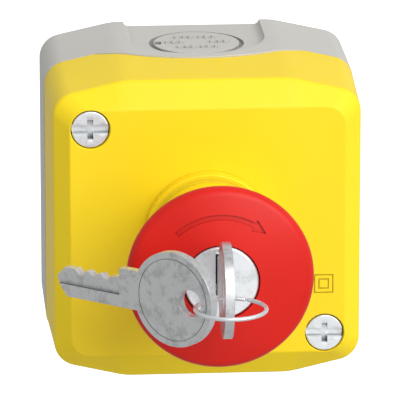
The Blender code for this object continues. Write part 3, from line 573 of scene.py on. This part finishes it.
def tinted(tree, shader, base, darker, factor, painted_shade_share=0.5, reach=0.8):
    """Base colour that drifts between a shade of itself and itself, and darkens with painted shade
    in the recesses that are narrower than the reach, in millimetres."""
    settings = {"data_type": "RGBA", 6: shade_of(base, darker), 7: base}
    drift = add_node(tree, "ShaderNodeMix", settings, {0: factor})
    # Painted shade: ambient occlusion darkens the base colour in recesses and corners, where shade
    # falls.
    settings = {"samples": 8, "only_local": True, "Distance": reach / 1000}
    openness = add_node(tree, "ShaderNodeAmbientOcclusion", settings).outputs["AO"]
    unshaded_share = spread(tree, openness, 0.0, 1.0, 0.35, 0.95)
    settings = {"data_type": "RGBA", 6: shade_of(base, painted_shade_share)}
    recess_painted_shade = add_node(tree, "ShaderNodeMix", settings, {0: unshaded_share, 7: drift.outputs[2]})
    tree.links.new(recess_painted_shade.outputs[2], shader.inputs["Base Color"])


def bumped(tree, shader, layers):
    """Bump from (height, depth in millimetres) layers, each laid over the one before."""
    normal = None
    for height, millimetres in layers:
        settings = {"Strength": 1.0, "Distance": millimetres / 1000}
        links = {"Height": height}
        if normal:
            links["Normal"] = normal
        normal = add_node(tree, "ShaderNodeBump", settings, links).outputs["Normal"]
    tree.links.new(normal, shader.inputs["Normal"])


def moulded_polycarbonate(name, base):
    """Polycarbonate moulded in a spark-eroded tool: an even satin, with a grain like fine sand
    and the faintest clouding where the melt flowed. The real grain is 0.05 mm and wouldn't show,
    so it is drawn at 0.3 mm."""
    made, tree, shader, place = surface(name, base, {"IOR": 1.58, "Specular IOR Level": 0.25})
    flow = noise(tree, place, 26.0, 2.0)
    grain = noise(tree, place, 0.3, 2.0)
    # The 2 mm reach spreads painted shade into the lid's corners and the collar's steps.
    tinted(tree, shader, base, 0.96, spread(tree, flow, 0.0, 1.0), reach=2.0)
    tree.links.new(spread(tree, noise(tree, place, 4.0), 0.38, 0.46), shader.inputs["Roughness"])
    bumped(tree, shader, [(flow, 0.02), (grain, 0.005)])
    return made


def moulded_polyamide(name, base, gloss=0.36):
    """Glass-filled polyamide, moulded: denser and a little glossier than the lid, with a slow
    waviness from shrinkage and fibres just under the skin that mottle the gloss."""
    made, tree, shader, place = surface(name, base, {"IOR": 1.53, "Specular IOR Level": 0.25})
    sink = noise(tree, place, 14.0, 1.5)
    fibre = noise(tree, place, 0.7, 4.0, 0.6)
    tinted(tree, shader, base, 0.88, spread(tree, sink, 0.0, 1.0))
    tree.links.new(spread(tree, fibre, gloss - 0.04, gloss + 0.06), shader.inputs["Roughness"])
    bumped(tree, shader, [(sink, 0.03), (fibre, 0.003)])
    return made


def moulded_nitrile(name, base):
    """Nitrile rubber from a mould, dusted with talc: dull black with paler, drier patches."""
    made, tree, shader, place = surface(name, base, {"IOR": 1.52})
    talc = noise(tree, place, 3.0, 5.0, 0.65)
    pores = noise(tree, place, 0.25, 2.0)
    tinted(tree, shader, base, 0.6, spread(tree, talc, 0.0, 1.0))
    tree.links.new(spread(tree, talc, 0.68, 0.85), shader.inputs["Roughness"])
    bumped(tree, shader, [(pores, 0.012)])
    return made


def handled_metal(name, base, gloss, dulling, darkest, cloud, grain, scratch, along, metallic=1.0):
    """A metal with clouds of this size, and a grain and scratches of these sizes and depths. The
    scratches are drawn out along the axes whose scale is below 1."""
    made, tree, shader, place = surface(name, base, {"Metallic": metallic})
    clouds = noise(tree, place, cloud, 6.0, 0.72)
    settings = {"Scale": along}
    stretch = add_node(tree, "ShaderNodeMapping", settings, {"Vector": place}).outputs["Vector"]
    layers = [(noise(tree, place, grain[0]), grain[1])]
    layers += [(noise(tree, stretch, scratch[0], 2.0, 0.7), scratch[1])]
    stains = spread(tree, clouds, 0.0, 1.0, 0.34, 0.52)
    # Painted shade darkens recesses up to 1.1 mm across to 0.28 of the base colour; the stains are
    # the metal's own clouds.
    tinted(tree, shader, base, darkest, stains, painted_shade_share=0.28, reach=1.1)
    tree.links.new(spread(tree, clouds, gloss + dulling, gloss), shader.inputs["Roughness"])
    bumped(tree, shader, layers)
    return made


def satin_nickel_plate(name, base):
    """Nickel plated over a faced and brushed zinc casting: soft silver, with stained patches
    where keys and fingers rub."""
    sizes = {"cloud": 3.0, "grain": (0.25, 0.004), "scratch": (0.3, 0.004)}
    return handled_metal(name, base, 0.3, 0.1, 0.78, along=(1.0, 1.0, 0.08), **sizes)


def stamped_nickel_silver(name, base):
    """Nickel silver sheet, stamped and tumbled: pale grey with darker clouds, dents a few tenths
    of a millimetre across and fine scratches along the blade."""
    sizes = {"cloud": 2.4, "grain": (0.8, 0.005), "scratch": (0.3, 0.005)}
    return handled_metal(name, base, 0.32, 0.1, 0.7, along=(0.15, 1.0, 0.15), **sizes)


def bright_zinc_plate(name, base):
    """Cold-formed steel with a clear-passivated zinc plate: bright, faintly blue, with a fine
    crystalline dulling."""
    sizes = {"cloud": 1.8, "grain": (0.2, 0.003), "scratch": (0.5, 0.003)}
    along = (1.0, 1.0, 1.0)
    return handled_metal(name, base, 0.34, 0.06, 0.9, along=along, metallic=0.82, **sizes)


def die_cast_zinc(name, base):
    """Zinc alloy as it leaves the die: dull grey, with cold-flow clouds and a pebbled skin."""
    sizes = {"cloud": 5.0, "grain": (0.35, 0.015), "scratch": (0.4, 0.004)}
    return handled_metal(name, base, 0.42, 0.14, 0.7, along=(1.0, 0.2, 1.0), **sizes)


def silvered_brass(name, base):
    """Brass strip flashed with silver and stamped: warm and soft, tarnished in patches."""
    sizes = {"cloud": 2.2, "grain": (0.2, 0.003), "scratch": (0.25, 0.004)}
    return handled_metal(name, base, 0.3, 0.15, 0.68, along=(1.0, 1.0, 0.12), **sizes)


FINISHES = {
    "light_grey_plastic": (moulded_polycarbonate, "grey"),
    "yellow_plastic": (moulded_polycarbonate, "yellow"),
    "red_plastic": (moulded_polyamide, "red"),
    "black_plastic": (moulded_polyamide, "black"),
    "pale_plastic": (moulded_polyamide, "pale"),
    "black_rubber": (moulded_nitrile, "rubber"),
    "nickel_plate": (satin_nickel_plate, "nickel"),
    "nickel_silver": (stamped_nickel_silver, "key"),
    "plated_steel": (bright_zinc_plate, "steel"),
    "die_cast_zinc": (die_cast_zinc, "zinc"),
    "silvered_brass": (silvered_brass, "silver"),
}


def finish_for(slot):
    """The material of a slot, made the first time that a piece needs it."""
    maker, colour_name = FINISHES[slot]
    name = f"{maker.__name__}_{colour_name}"
    ready = bpy.data.materials.get(name)
    return ready or maker(name, list(getattr(bpy.context.scene.station_colours, colour_name)))


# Operators


class STATION_OT_rear_base(bpy.types.Operator):
    """Mould the grey base, with its cable knockouts, screw bosses and mounting holes"""

    bl_idname = "station.rear_base"
    bl_label = "Rear base"

    def execute(self, context):
        sizes = context.scene.station_sizes
        front = SIDE_DEPTH + PARTING_CREST + WALL
        outline = box_outline(HALF_WIDTH, HALF_HEIGHT)
        back_ring = ring_at(outline, 0.0)
        front_ring = ring_at(outline, front)
        rings = rounded_edge(shrunk(back_ring), back_ring, front_ring, sizes.base_edge)
        base = new_piece(lofted("base", rings + [front_ring]))
        inside = box_outline(HALF_WIDTH - WALL, HALF_HEIGHT - WALL)
        shape(base, "DIFFERENCE", prism("hollow", inside, WALL, front + WALL))
        above = parting_block("above_parting", parting_line(), level_line(2 * FACE))
        shape(base, "DIFFERENCE", above)
        boss_front = SIDE_DEPTH + LID_SKIRT / 4
        for place in SCREW_PLACES.values():
            shape(base, "UNION", rod("boss", BASE_BOSS_RADIUS, WALL / 2, boss_front, place))
            shape(base, "DIFFERENCE", rod("hole", SHANK_RADIUS + GAP, WALL * 2, front, place))
        for side in (-1, 1):
            place = (side * MOUNTING_HOLE_OFFSET, side * MOUNTING_HOLE_OFFSET)
            hole = rod("mounting_hole", MOUNTING_HOLE_RADIUS, -WALL, 2 * WALL, place)
            shape(base, "DIFFERENCE", hole, self.recess(side))
            shape(base, "DIFFERENCE", self.groove(side, sizes))
            shape(base, "UNION", self.disc(side, sizes))
            shape(base, "UNION", self.beads(side, sizes))
            shape(base, "DIFFERENCE", self.notch(side))
        fit(base, "base_shell", "rear_base", "light_grey_plastic")
        return {"FINISHED"}

    def recess(self, side):
        """A U-shaped recess, whose floor runs up into its sides in a hollow curve."""
        centre = (0.0, RECESS_FRONT - RECESS_HALF_WIDTH)
        hollow = (RECESS_HALF_WIDTH - RECESS_DEPTH, RECESS_FLOOR + RECESS_DEPTH)
        sections = arc(hollow, RECESS_DEPTH, -math.pi / 2, 0.0, 6)
        rings = []
        for half_width, height in sections + [(RECESS_HALF_WIDTH, 2 * HALF_HEIGHT)]:
            outline = arc(centre, half_width, 0.0, math.pi, 36)
            outline = [(half_width, -WALL)] + outline + [(-half_width, -WALL)]
            rings.append([(x, side * height, depth) for x, depth in outline])
        return lofted("recess", rings)

    def groove(self, side, sizes):
        """The rounded groove along which a knockout breaks out."""
        low = RECESS_FLOOR - KNOCKOUT_GROOVE
        inner = KNOCKOUT_RADIUS - sizes.knockout_width
        corners = [
            (inner, HALF_HEIGHT),
            (inner, low, KNOCKOUT_GROOVE * 0.7),
            (KNOCKOUT_RADIUS, low, KNOCKOUT_GROOVE * 0.7),
            (KNOCKOUT_RADIUS, HALF_HEIGHT),
        ]
        mesh = turned("groove", rounded_profile(corners, 3), (0.0, KNOCKOUT_CENTRE), 72)
        return on_the_end(mesh, side)

    def notch(self, side):
        """The nick beside the disc where a screwdriver starts the knockout."""
        x = NOTCH_OFFSET - KNOCKOUT_RADIUS
        outline = rectangle(NOTCH_WIDTH / 2, NOTCH_LENGTH / 2, (x, KNOCKOUT_CENTRE))
        mesh = prism("notch", outline, RECESS_FLOOR - KNOCKOUT_GROOVE * 0.8, HALF_HEIGHT)
        return on_the_end(mesh, side)

    def disc(self, side, sizes):
        """The knockout's disc, which stands a little above the recess."""
        low = RECESS_FLOOR - KNOCKOUT_GROOVE
        top = RECESS_FLOOR + sizes.knockout_raise
        rim = KNOCKOUT_RADIUS - sizes.knockout_width
        corners = [
            (0.0, low),
            (rim, low),
            (rim, top, sizes.knockout_raise * 0.8),
            (0.0, top),
        ]
        profile = rounded_profile(corners, 3)
        mesh = turned("disc", profile, (0.0, KNOCKOUT_CENTRE), 72)
        return on_the_end(mesh, side)

    def beads(self, side, sizes):
        """Raised beads in groups round the knockout, moulded there to grip the disc by."""
        top = RECESS_FLOOR + sizes.knockout_raise + sizes.bead_height
        bm = bmesh.new()
        for i, (x, depth) in enumerate(circle(BEAD_CIRCLE, BEAD_GROUPS, (0.0, KNOCKOUT_CENTRE))):
            for j in range(3):
                centre = (x + (j - 1) * BEAD_PITCH, depth)
                half_width = BEAD_PITCH * (0.2 if (i + j) % 2 else 0.36)
                foot = rectangle(half_width, BEAD_PITCH / 2, centre)
                crown = rectangle(half_width * 0.75, BEAD_PITCH * 0.42, centre)
                skin_over(bm, [ring_at(foot, RECESS_FLOOR), ring_at(crown, top)])
        return on_the_end(finish_mesh(bm, "beads"), side)


class STATION_OT_front_lid(bpy.types.Operator):
    """Mould the yellow lid, with its rounded edges, screw bosses, window and square marks"""

    bl_idname = "station.front_lid"
    bl_label = "Front lid"

    def execute(self, context):
        sizes = context.scene.station_sizes
        back = SIDE_DEPTH - WALL
        edge_width = HALF_WIDTH - LID_DRAFT
        edge_height = HALF_HEIGHT - LID_DRAFT
        face_width = edge_width - FACE_SIDE_INSET
        face_height = edge_height - FACE_TOP_INSET
        back_ring = ring_at(box_outline(HALF_WIDTH, HALF_HEIGHT), back)
        edge_ring = ring_at(box_outline(edge_width, edge_height), LID_EDGE)
        face_ring = ring_at(box_outline(face_width, face_height, drop=0.0), FACE)
        rings = [back_ring]
        rings += rounded_edge(back_ring, edge_ring, face_ring, sizes.lid_edge)
        rings += rounded_edge(edge_ring, face_ring, shrunk(face_ring), sizes.face_edge)
        lid = new_piece(lofted("lid", rings))
        hollow = [
            ring_at(box_outline(HALF_WIDTH - WALL, HALF_HEIGHT - WALL), back - WALL),
            ring_at(box_outline(edge_width - WALL, edge_height - WALL), LID_EDGE - FACE + CEILING),
            ring_at(box_outline(face_width - WALL, face_height - WALL, drop=0.0), CEILING),
        ]
        shape(lid, "DIFFERENCE", lofted("hollow", hollow))
        boss_back = SIDE_DEPTH + LID_SKIRT / 4 + GAP
        for place in SCREW_PLACES.values():
            shape(lid, "UNION", rod("boss", LID_BOSS_RADIUS, boss_back, CEILING + GAP, place))
            hole = rod("hole", SHANK_RADIUS + GAP, back, FACE, place)
            shape(lid, "DIFFERENCE", self.counterbore(place, sizes), hole)
        window = rod("window", THREAD_RADIUS + GAP, CEILING - WALL, FACE + WALL, facets=72)
        below = parting_block("below_parting", level_line(-FACE), parting_line(GAP))
        shape(lid, "DIFFERENCE", window, below)
        for half_size in INSULATION_SQUARES:
            self.engrave_square(lid, half_size, sizes)
        fit(lid, "lid_shell", "front_lid", "yellow_plastic")
        return {"FINISHED"}

    def counterbore(self, place, sizes):
        """The screw head's seat, with a chamfered mouth."""
        seat = SCREW_TOP - SCREW_HEAD_HEIGHT - GAP
        bore = SCREW_RADIUS + COUNTERBORE_CLEARANCE
        chamfer = sizes.mouth_chamfer
        profile = [
            (0.0, FACE + WALL),
            (bore + chamfer, FACE + WALL),
            (bore + chamfer, FACE),
            (bore, FACE - chamfer),
            (bore, seat),
            (0.0, seat),
        ]
        return turned("counterbore", profile, place, 64)

    def engrave_square(self, lid, half_size, sizes):
        """One of the two squares that mark double insulation."""
        floor = FACE - sizes.mark_depth
        half_line = sizes.mark_width / 2
        x, y = INSULATION_MARK
        outer = half_size + half_line
        inner = half_size - half_line
        for sign in (-1, 1):
            middle = sign * half_size
            flat = rectangle(outer, half_line, (x, y + middle))
            upright = rectangle(half_line, inner, (x + middle, y))
            for line in (flat, upright):
                shape(lid, "DIFFERENCE", prism("line", line, floor, FACE + WALL))


class STATION_OT_cover_screws(bpy.types.Operator):
    """Make the two cover screws, with their slot and cross arm"""

    bl_idname = "station.cover_screws"
    bl_label = "Cover screws"

    def execute(self, context):
        sizes = context.scene.station_sizes
        for name, place in SCREW_PLACES.items():
            screw = new_piece(self.blank(place, sizes))
            floor = SCREW_TOP - SCREW_RECESS
            front = SCREW_TOP + SCREW_RECESS
            centre = (place.x, place.y)
            slot = rectangle(SCREW_RADIUS * 1.5, SCREW_SLOT_WIDTH / 2, centre)
            arm = rectangle(SCREW_CROSS_WIDTH / 2, SCREW_CROSS_LENGTH / 2, centre)
            cuts = [prism("recess", outline, floor, front) for outline in (slot, arm)]
            shape(screw, "DIFFERENCE", *cuts)
            break_edges(screw, RECESS_EDGE)
            fit(screw, "cover_screw_head_" + name, "cover_screw_" + name, "plated_steel")
        return {"FINISHED"}

    def blank(self, place, sizes):
        """The screw before its recess is struck."""
        seat = SCREW_TOP - SCREW_HEAD_HEIGHT
        tip = SCREW_LOW.z + SHANK_RADIUS
        corners = [
            (0.0, SCREW_TOP),
            (SCREW_RADIUS, SCREW_TOP, sizes.screw_edge),
            (SCREW_RADIUS, seat),
            (SHANK_RADIUS, seat),
            (SHANK_RADIUS, tip),
            (0.0, SCREW_LOW.z),
        ]
        return turned("screw", rounded_profile(corners, 4), place, 64)


class STATION_OT_button_bezel(bpy.types.Operator):
    """Mould the yellow collar and neck round the button"""

    bl_idname = "station.button_bezel"
    bl_label = "Button bezel"

    def execute(self, context):
        collar_radius = BEZEL_HIGH.x
        corners = [
            (NECK_RADIUS, NECK_TOP, NECK_EDGE),
            (NECK_RADIUS, COLLAR_LEDGE, LEDGE_FILLET),
            (collar_radius, COLLAR_LEDGE, COLLAR_EDGE),
            (collar_radius, BEZEL_LOW.z),
            (GASKET_RIM, BEZEL_LOW.z),
            (GASKET_RIM, GASKET_REBATE),
            (THREAD_RADIUS + GAP, GASKET_REBATE),
            (THREAD_RADIUS + GAP, LIP_BACK),
            (OPERATOR_BORE, LIP_BACK),
            (OPERATOR_BORE, NECK_TOP, COLLAR_EDGE),
        ]
        bezel = new_piece(turned("bezel", rounded_profile(corners)))
        fit(bezel, "bezel_ring", "button_bezel", "yellow_plastic")
        return {"FINISHED"}


class STATION_OT_mushroom_head(bpy.types.Operator):
    """Mould the red mushroom head, with its release arrow, and turn the stem behind it"""

    bl_idname = "station.mushroom_head"
    bl_label = "Mushroom head"

    def execute(self, context):
        sizes = context.scene.station_sizes
        head = new_piece(turned("head", self.profile(), facets=128))
        shape(head, "DIFFERENCE", self.arrow(sizes))
        fit(head, "mushroom_cap", "mushroom_head", "red_plastic")
        outer = STEM_HIGH.x
        inner = outer - STEM_WALL
        wall = [
            (inner, STEM_LOW.z),
            (outer, STEM_LOW.z, STEM_EDGE),
            (outer, STEM_HIGH.z, STEM_EDGE),
            (inner, STEM_HIGH.z),
        ]
        stem = new_piece(turned("stem", rounded_profile(wall, 3), facets=72))
        middle = (LATCH_LOW + LATCH_HIGH) / 2
        window = rod("window", LATCH_HIGH.y + GAP, 0.0, THREAD_RADIUS, facets=24)
        across = Matrix.Rotation(math.pi / 2, 4, "Y")
        window.transform(Matrix.Translation((0, 0, middle.z)) @ across)
        shape(stem, "DIFFERENCE", window)
        fit(stem, "stem_tube", "head_stem", "die_cast_zinc")
        return {"FINISHED"}

    def dome(self, sink=0.0):
        """Points down the dome from the lock's bore to the rim, sunk by a depth."""
        reach = RIM_RADIUS + RIM_ROUND * math.sin(RIM_SLOPE)
        points = []
        for i in range(25):
            radius = HEAD_BORE + (reach - HEAD_BORE) * i / 24
            drop = (radius**2 - HEAD_BORE**2) / (2 * DOME_RADIUS)
            points.append((radius, HEAD_FRONT - drop - sink))
        return points

    def profile(self):
        """Low dome, rounded rim, skirt that tapers back and hollow underside with a hub."""
        points = self.dome()
        rim_depth = points[-1][1] - RIM_ROUND * math.cos(RIM_SLOPE)
        rim = (RIM_RADIUS, rim_depth)
        points += arc(rim, RIM_ROUND, math.pi / 2 - RIM_SLOPE, -SKIRT_ANGLE, 14)[1:]
        edge = HEAD_WALL / 2
        skirt_radius, skirt_depth = points[-1]
        skirt_end = skirt_radius - (skirt_depth - HEAD_BACK - edge) * math.tan(SKIRT_ANGLE)
        hub = OPERATOR_BORE + HEAD_WALL
        roof = (HEAD_BACK + HEAD_FRONT) / 2
        socket = HEAD_BACK + STEM_SOCKET
        points += arc((skirt_end - edge, HEAD_BACK + edge), edge, 0.0, -math.pi / 2, 5)
        inside = [
            (skirt_end - HEAD_WALL, HEAD_BACK),
            (skirt_end - HEAD_WALL, roof, HEAD_FILLET),
            (hub, roof, HEAD_FILLET),
            (hub, HEAD_BACK),
            (OPERATOR_BORE, HEAD_BACK),
            (OPERATOR_BORE, socket),
            (HEAD_BORE, socket),
        ]
        return points + rounded_profile(inside, 4)

    def arrow(self, sizes):
        """A curved arrow over the lock, whose floor follows the dome at an even depth."""
        half = sizes.arrow_width / 2
        tail, neck, tip = ARROW_ANGLES
        centre = (0.0, 0.0)
        outline = arc(centre, ARROW_RADIUS + half, tail, neck, 24)
        barb = ARROW_BARB * half
        outline += [polar(ARROW_RADIUS + barb, neck), polar(ARROW_RADIUS, tip)]
        outline += [polar(ARROW_RADIUS - barb, neck)]
        outline += arc(centre, ARROW_RADIUS - half, neck, tail, 24)
        arrow = new_piece(prism("arrow", outline, HEAD_BACK, HEAD_FRONT + WALL))
        shell = self.dome(sizes.arrow_depth)
        shell += [(shell[-1][0], HEAD_FRONT + WALL), (shell[0][0], HEAD_FRONT + WALL)]
        shape(arrow, "INTERSECT", turned("arrow_floor", shell, facets=128))
        mesh = arrow.data.copy()
        bpy.data.objects.remove(arrow)
        return mesh


class STATION_OT_lock_face(bpy.types.Operator):
    """Turn the lock's plug and face, and cut its keyway"""

    bl_idname = "station.lock_face"
    bl_label = "Lock face"

    def execute(self, context):
        profile = [
            (0.0, LOCK_FRONT),
            (LOCK_FACE_RADIUS - LOCK_CHAMFER, LOCK_FRONT),
            (LOCK_FACE_RADIUS, LOCK_FRONT - LOCK_CHAMFER),
            (LOCK_FACE_RADIUS, LOCK_FACE_BACK),
            (PLUG_RADIUS, LOCK_FACE_BACK),
            (PLUG_RADIUS, LOCK_LOW.z),
            (0.0, LOCK_LOW.z),
        ]
        plug = new_piece(turned("plug", profile))
        spine = BOW_CENTRE.y + SPINE + GAP
        over = LOCK_FRONT + KEYWAY_DEPTH
        mouth = LOCK_FRONT - KEYWAY_DEPTH
        for height, back in ((BLADE_HEIGHT, KEY_LOW.z - GAP), (TAB_HEIGHT, mouth)):
            half_height = height / 2 + GAP
            slot = rectangle(KEY_THICKNESS / 2 + GAP, half_height, (0.0, spine - half_height))
            shape(plug, "DIFFERENCE", prism("keyway", slot, back, over))
        break_edges(plug, LOCK_EDGE)
        fit(plug, "lock_cylinder_face", "lock_plug", "nickel_plate")
        return {"FINISHED"}


class STATION_OT_keys(bpy.types.Operator):
    """Stamp and cut the key in the lock and the spare key on its ring"""

    bl_idname = "station.keys"
    bl_label = "Keys"

    def execute(self, context):
        sizes = context.scene.station_sizes
        inwards = Vector((0, 0, -1))
        self.key("key_in_lock", "inserted_key", inwards, UP, BOW_CENTRE, sizes)
        left = RING_CENTRE - Vector((RING_RADIUS, 0, 0))
        level = Vector((-math.cos(SPARE_TURN), 0.0, -math.sin(SPARE_TURN)))
        towards_tip = level * math.cos(SPARE_TILT) - UP * math.sin(SPARE_TILT)
        bow = left + SPARE_HOLE_SHIFT + towards_tip * KEY_HOLE_OFFSET
        self.key("key_on_ring", "spare_key", towards_tip, -UP, bow, sizes)
        return {"FINISHED"}

    def outline(self):
        """A flat key along X, tip at +X, bitting at -Y and the middle of its bow at zero."""
        tab_bottom = SPINE - TAB_HEIGHT
        blade_bottom = SPINE - BLADE_HEIGHT
        start = math.asin(SPINE / BOW_RADIUS)
        end = 2 * math.pi + math.asin(tab_bottom / BOW_RADIUS)
        points = arc((0.0, 0.0), BOW_RADIUS, start, end, 80)
        points += [(TAB_END, tab_bottom), (TAB_END, blade_bottom)]
        for number, depth in enumerate(BITTING_DEPTHS):
            middle = BITTING_START + number * BITTING_PITCH
            points += [
                (middle - BITTING_FLAT - BITTING_RAMP, blade_bottom),
                (middle - BITTING_FLAT, blade_bottom + depth),
                (middle + BITTING_FLAT, blade_bottom + depth),
                (middle + BITTING_FLAT + BITTING_RAMP, blade_bottom),
            ]
        return points + [
            (KEY_TIP - TIP_CHAMFER, blade_bottom),
            (KEY_TIP, blade_bottom + TIP_CHAMFER),
            (KEY_TIP, SPINE - TIP_SLANT),
            (KEY_TIP - TIP_SLANT * 0.8, SPINE),
        ]

    def key(self, name, node, towards_tip, away_from_bitting, bow, sizes):
        half = KEY_THICKNESS / 2
        piece = new_piece(prism("key", self.outline(), -half, half))
        hole = rod("hole", KEY_HOLE_RADIUS, -KEY_THICKNESS, KEY_THICKNESS, (-KEY_HOLE_OFFSET, 0.0))
        shape(piece, "DIFFERENCE", hole)
        break_edges(piece, sizes.key_edge)
        for side in (-1, 1):
            self.cut_grooves(piece, side, half, sizes)
        normal = towards_tip.cross(away_from_bitting).normalized()
        upward = normal.cross(towards_tip)
        turn = Matrix((towards_tip, upward, normal)).transposed().to_4x4()
        piece.data.transform(Matrix.Translation(bow) @ turn)
        fit(piece, name, node, "nickel_silver")

    def cut_grooves(self, piece, side, half, sizes):
        """The channel that guides the blade, whose bed slopes down to a steep side, and the line
        coined round the bow."""
        blade_bottom = SPINE - BLADE_HEIGHT
        bed = side * (half - sizes.key_groove)
        over = side * 2 * half
        section = [
            (blade_bottom + CHANNEL_TOP, side * half),
            (blade_bottom + CHANNEL_BED, bed),
            (blade_bottom + CHANNEL_BOTTOM, bed),
            (blade_bottom + CHANNEL_BOTTOM, over),
            (blade_bottom + CHANNEL_TOP, over),
        ]
        ends = (TAB_END, KEY_TIP + WALL)
        channel = lofted("channel", [[(x, y, z) for y, z in section] for x in ends])
        shape(piece, "DIFFERENCE", channel)
        floor, over = sorted((side * (half - sizes.key_groove / 4), side * 2 * half))
        inner = BOW_LINE_RADIUS
        outer = inner + BOW_LINE_WIDTH
        line = [(inner, over), (inner, floor), (outer, floor), (outer, over)]
        shape(piece, "DIFFERENCE", turned("line", line, facets=96))


class STATION_OT_key_ring(bpy.types.Operator):
    """Bend the wire that holds the keys together, its rounded ends nearly meeting"""

    bl_idname = "station.key_ring"
    bl_label = "Key ring"

    def execute(self, context):
        sizes = context.scene.station_sizes
        half_joint = sizes.ring_joint / 2 / RING_RADIUS
        cap = WIRE_RADIUS / RING_RADIUS
        start = RING_JOINT_ANGLE + half_joint
        end = start + 2 * (math.pi - half_joint)
        quarter = arc((0.0, 0.0), 1.0, math.pi / 2, 0.0, 4)
        opening = [(start + cap * (1 - rise), max(share, 0.05)) for share, rise in quarter]
        closing = [(start + end - angle, share) for angle, share in reversed(opening)]
        first, last = opening[-1][0], closing[0][0]
        middle = [(first + (last - first) * i / 120, 1.0) for i in range(1, 120)]
        rings = [self.wire_ring(*section) for section in opening + middle + closing]
        ring = new_piece(lofted("ring", rings))
        fit(ring, "ring_wire", "key_ring", "plated_steel")
        return {"FINISHED"}

    def wire_ring(self, angle, share):
        """The wire's round section at an angle round the ring."""
        outward = Vector((math.cos(angle), 0.0, math.sin(angle)))
        centre = RING_CENTRE + outward * RING_RADIUS
        section = circle(WIRE_RADIUS * share, 20)
        return [centre + outward * across + UP * rise for across, rise in section]


class STATION_OT_inner_works(bpy.types.Operator):
    """Give the seals, operator, lock and switching blocks their real surfaces"""

    bl_idname = "station.inner_works"
    bl_label = "Inner works"

    def execute(self, context):
        for slot, nodes in KEPT_NODES.items():
            for node in nodes:
                piece = frame["nodes"][node]
                if not piece.material_slots:
                    piece.data.materials.append(None)
                for material_slot in piece.material_slots:
                    material_slot.material = finish_for(slot)
        return {"FINISHED"}


class STATION_OT_stage(bpy.types.Operator):
    """Lay the floor and set the lights and the camera"""

    bl_idname = "station.stage"
    bl_label = "Floor, lights and camera"

    def execute(self, context):
        scene = context.scene
        scene.view_settings.view_transform = "Standard"
        self.lay_floor()
        self.light_room(scene)
        self.place_camera(scene)
        return {"FINISHED"}

    def lay_floor(self):
        """A pale painted floor below the station, rolled on, so it is slightly uneven."""
        disc = prism("floor", circle(FLOOR_RADIUS, 64), FLOOR_TOP - FLOOR_DEPTH, FLOOR_TOP)
        floor = new_piece(disc)
        base = list(bpy.context.scene.station_colours.floor)
        settings = {"IOR": 1.5, "Roughness": 0.6, "Emission Color": base, "Emission Strength": 0.8}
        made, tree, shader, place = surface("rolled_floor_paint", base, settings)
        tinted(tree, shader, base, 0.98, noise(tree, place, 120.0))
        bumped(tree, shader, [(noise(tree, place, 3.0), 0.05)])
        floor.data.materials.append(made)
        floor.visible_diffuse = False
        floor.visible_glossy = False
        floor.visible_shadow = False

    def light_room(self, scene):
        """A white room, brighter at the upper right, with a large soft light there and a card low
        in front that shows only in reflections."""
        world = bpy.data.worlds.new("white_room")
        world.use_nodes = True
        background = world.node_tree.nodes["Background"]
        background.inputs["Color"].default_value = (1.0, 1.0, 1.0, 1.0)
        tree = world.node_tree
        place = add_node(tree, "ShaderNodeTexCoord").outputs["Generated"]
        settings = {"operation": "DOT_PRODUCT", 1: BRIGHT_SIDE}
        height = add_node(tree, "ShaderNodeVectorMath", settings, {0: place}).outputs["Value"]
        strength = spread(tree, height, *ROOM_STRENGTHS, -0.8, 1.0)
        tree.links.new(strength, background.inputs["Strength"])
        scene.world = world
        self.area_light("upper_right", **LARGE_LIGHT)
        card = self.area_light("low_front", **LOW_CARD)
        card.visible_diffuse = False

    def area_light(self, name, place, size, power):
        lamp = bpy.data.lights.new(name, "AREA")
        lamp.shape = "DISK"
        lamp.size = size
        lamp.energy = power
        light = bpy.data.objects.new(name, lamp)
        light.location = place
        towards = LIGHT_AIM - Vector(place)
        light.rotation_euler = towards.to_track_quat("-Z", "Y").to_euler()
        bpy.context.scene.collection.objects.link(light)
        return light

    def place_camera(self, scene):
        lens = bpy.data.cameras.new("view")
        lens.lens = VIEW_LENS
        lens.sensor_width = 36.0
        camera = bpy.data.objects.new("view", lens)
        away, height = polar(VIEW_DISTANCE, VIEW_ELEVATION)
        offset = Vector((*polar(away, VIEW_AZIMUTH - math.pi / 2), height))
        camera.location = VIEW_AIM + offset
        camera.rotation_euler = (-offset).to_track_quat("-Z", "Y").to_euler()
        scene.collection.objects.link(camera)
        scene.camera = camera


BUILDERS = (
    STATION_OT_rear_base,
    STATION_OT_front_lid,
    STATION_OT_cover_screws,
    STATION_OT_button_bezel,
    STATION_OT_mushroom_head,
    STATION_OT_lock_face,
    STATION_OT_keys,
    STATION_OT_key_ring,
    STATION_OT_inner_works,
    STATION_OT_stage,
)


class STATION_PT_panel(bpy.types.Panel):
    """Lists the station's sizes, colours and pieces"""

    bl_idname = "STATION_PT_panel"
    bl_label = "Emergency stop station"
    bl_space_type = "VIEW_3D"
    bl_region_type = "UI"
    bl_category = "Stop station"

    def draw(self, context):
        layout = self.layout
        for settings in (context.scene.station_sizes, context.scene.station_colours):
            column = layout.column(align=True)
            for name in settings.__annotations__:
                column.prop(settings, name)
        column = layout.column(align=True)
        for builder in BUILDERS:
            column.operator(builder.bl_idname)


CLASSES = (StationSizes, StationColours, *BUILDERS, STATION_PT_panel)


def register():
    for item in CLASSES:
        bpy.utils.register_class(item)
    bpy.types.Scene.station_sizes = PointerProperty(type=StationSizes)
    bpy.types.Scene.station_colours = PointerProperty(type=StationColours)


def unregister():
    del bpy.types.Scene.station_colours
    del bpy.types.Scene.station_sizes
    for item in reversed(CLASSES):
        bpy.utils.unregister_class(item)


def main():
    register()
    bpy.ops.station.rear_base()
    bpy.ops.station.front_lid()
    bpy.ops.station.cover_screws()
    bpy.ops.station.button_bezel()
    bpy.ops.station.mushroom_head()
    bpy.ops.station.lock_face()
    bpy.ops.station.keys()
    bpy.ops.station.key_ring()
    bpy.ops.station.inner_works()
    bpy.ops.station.stage()


if __name__ == "__main__":
    main()
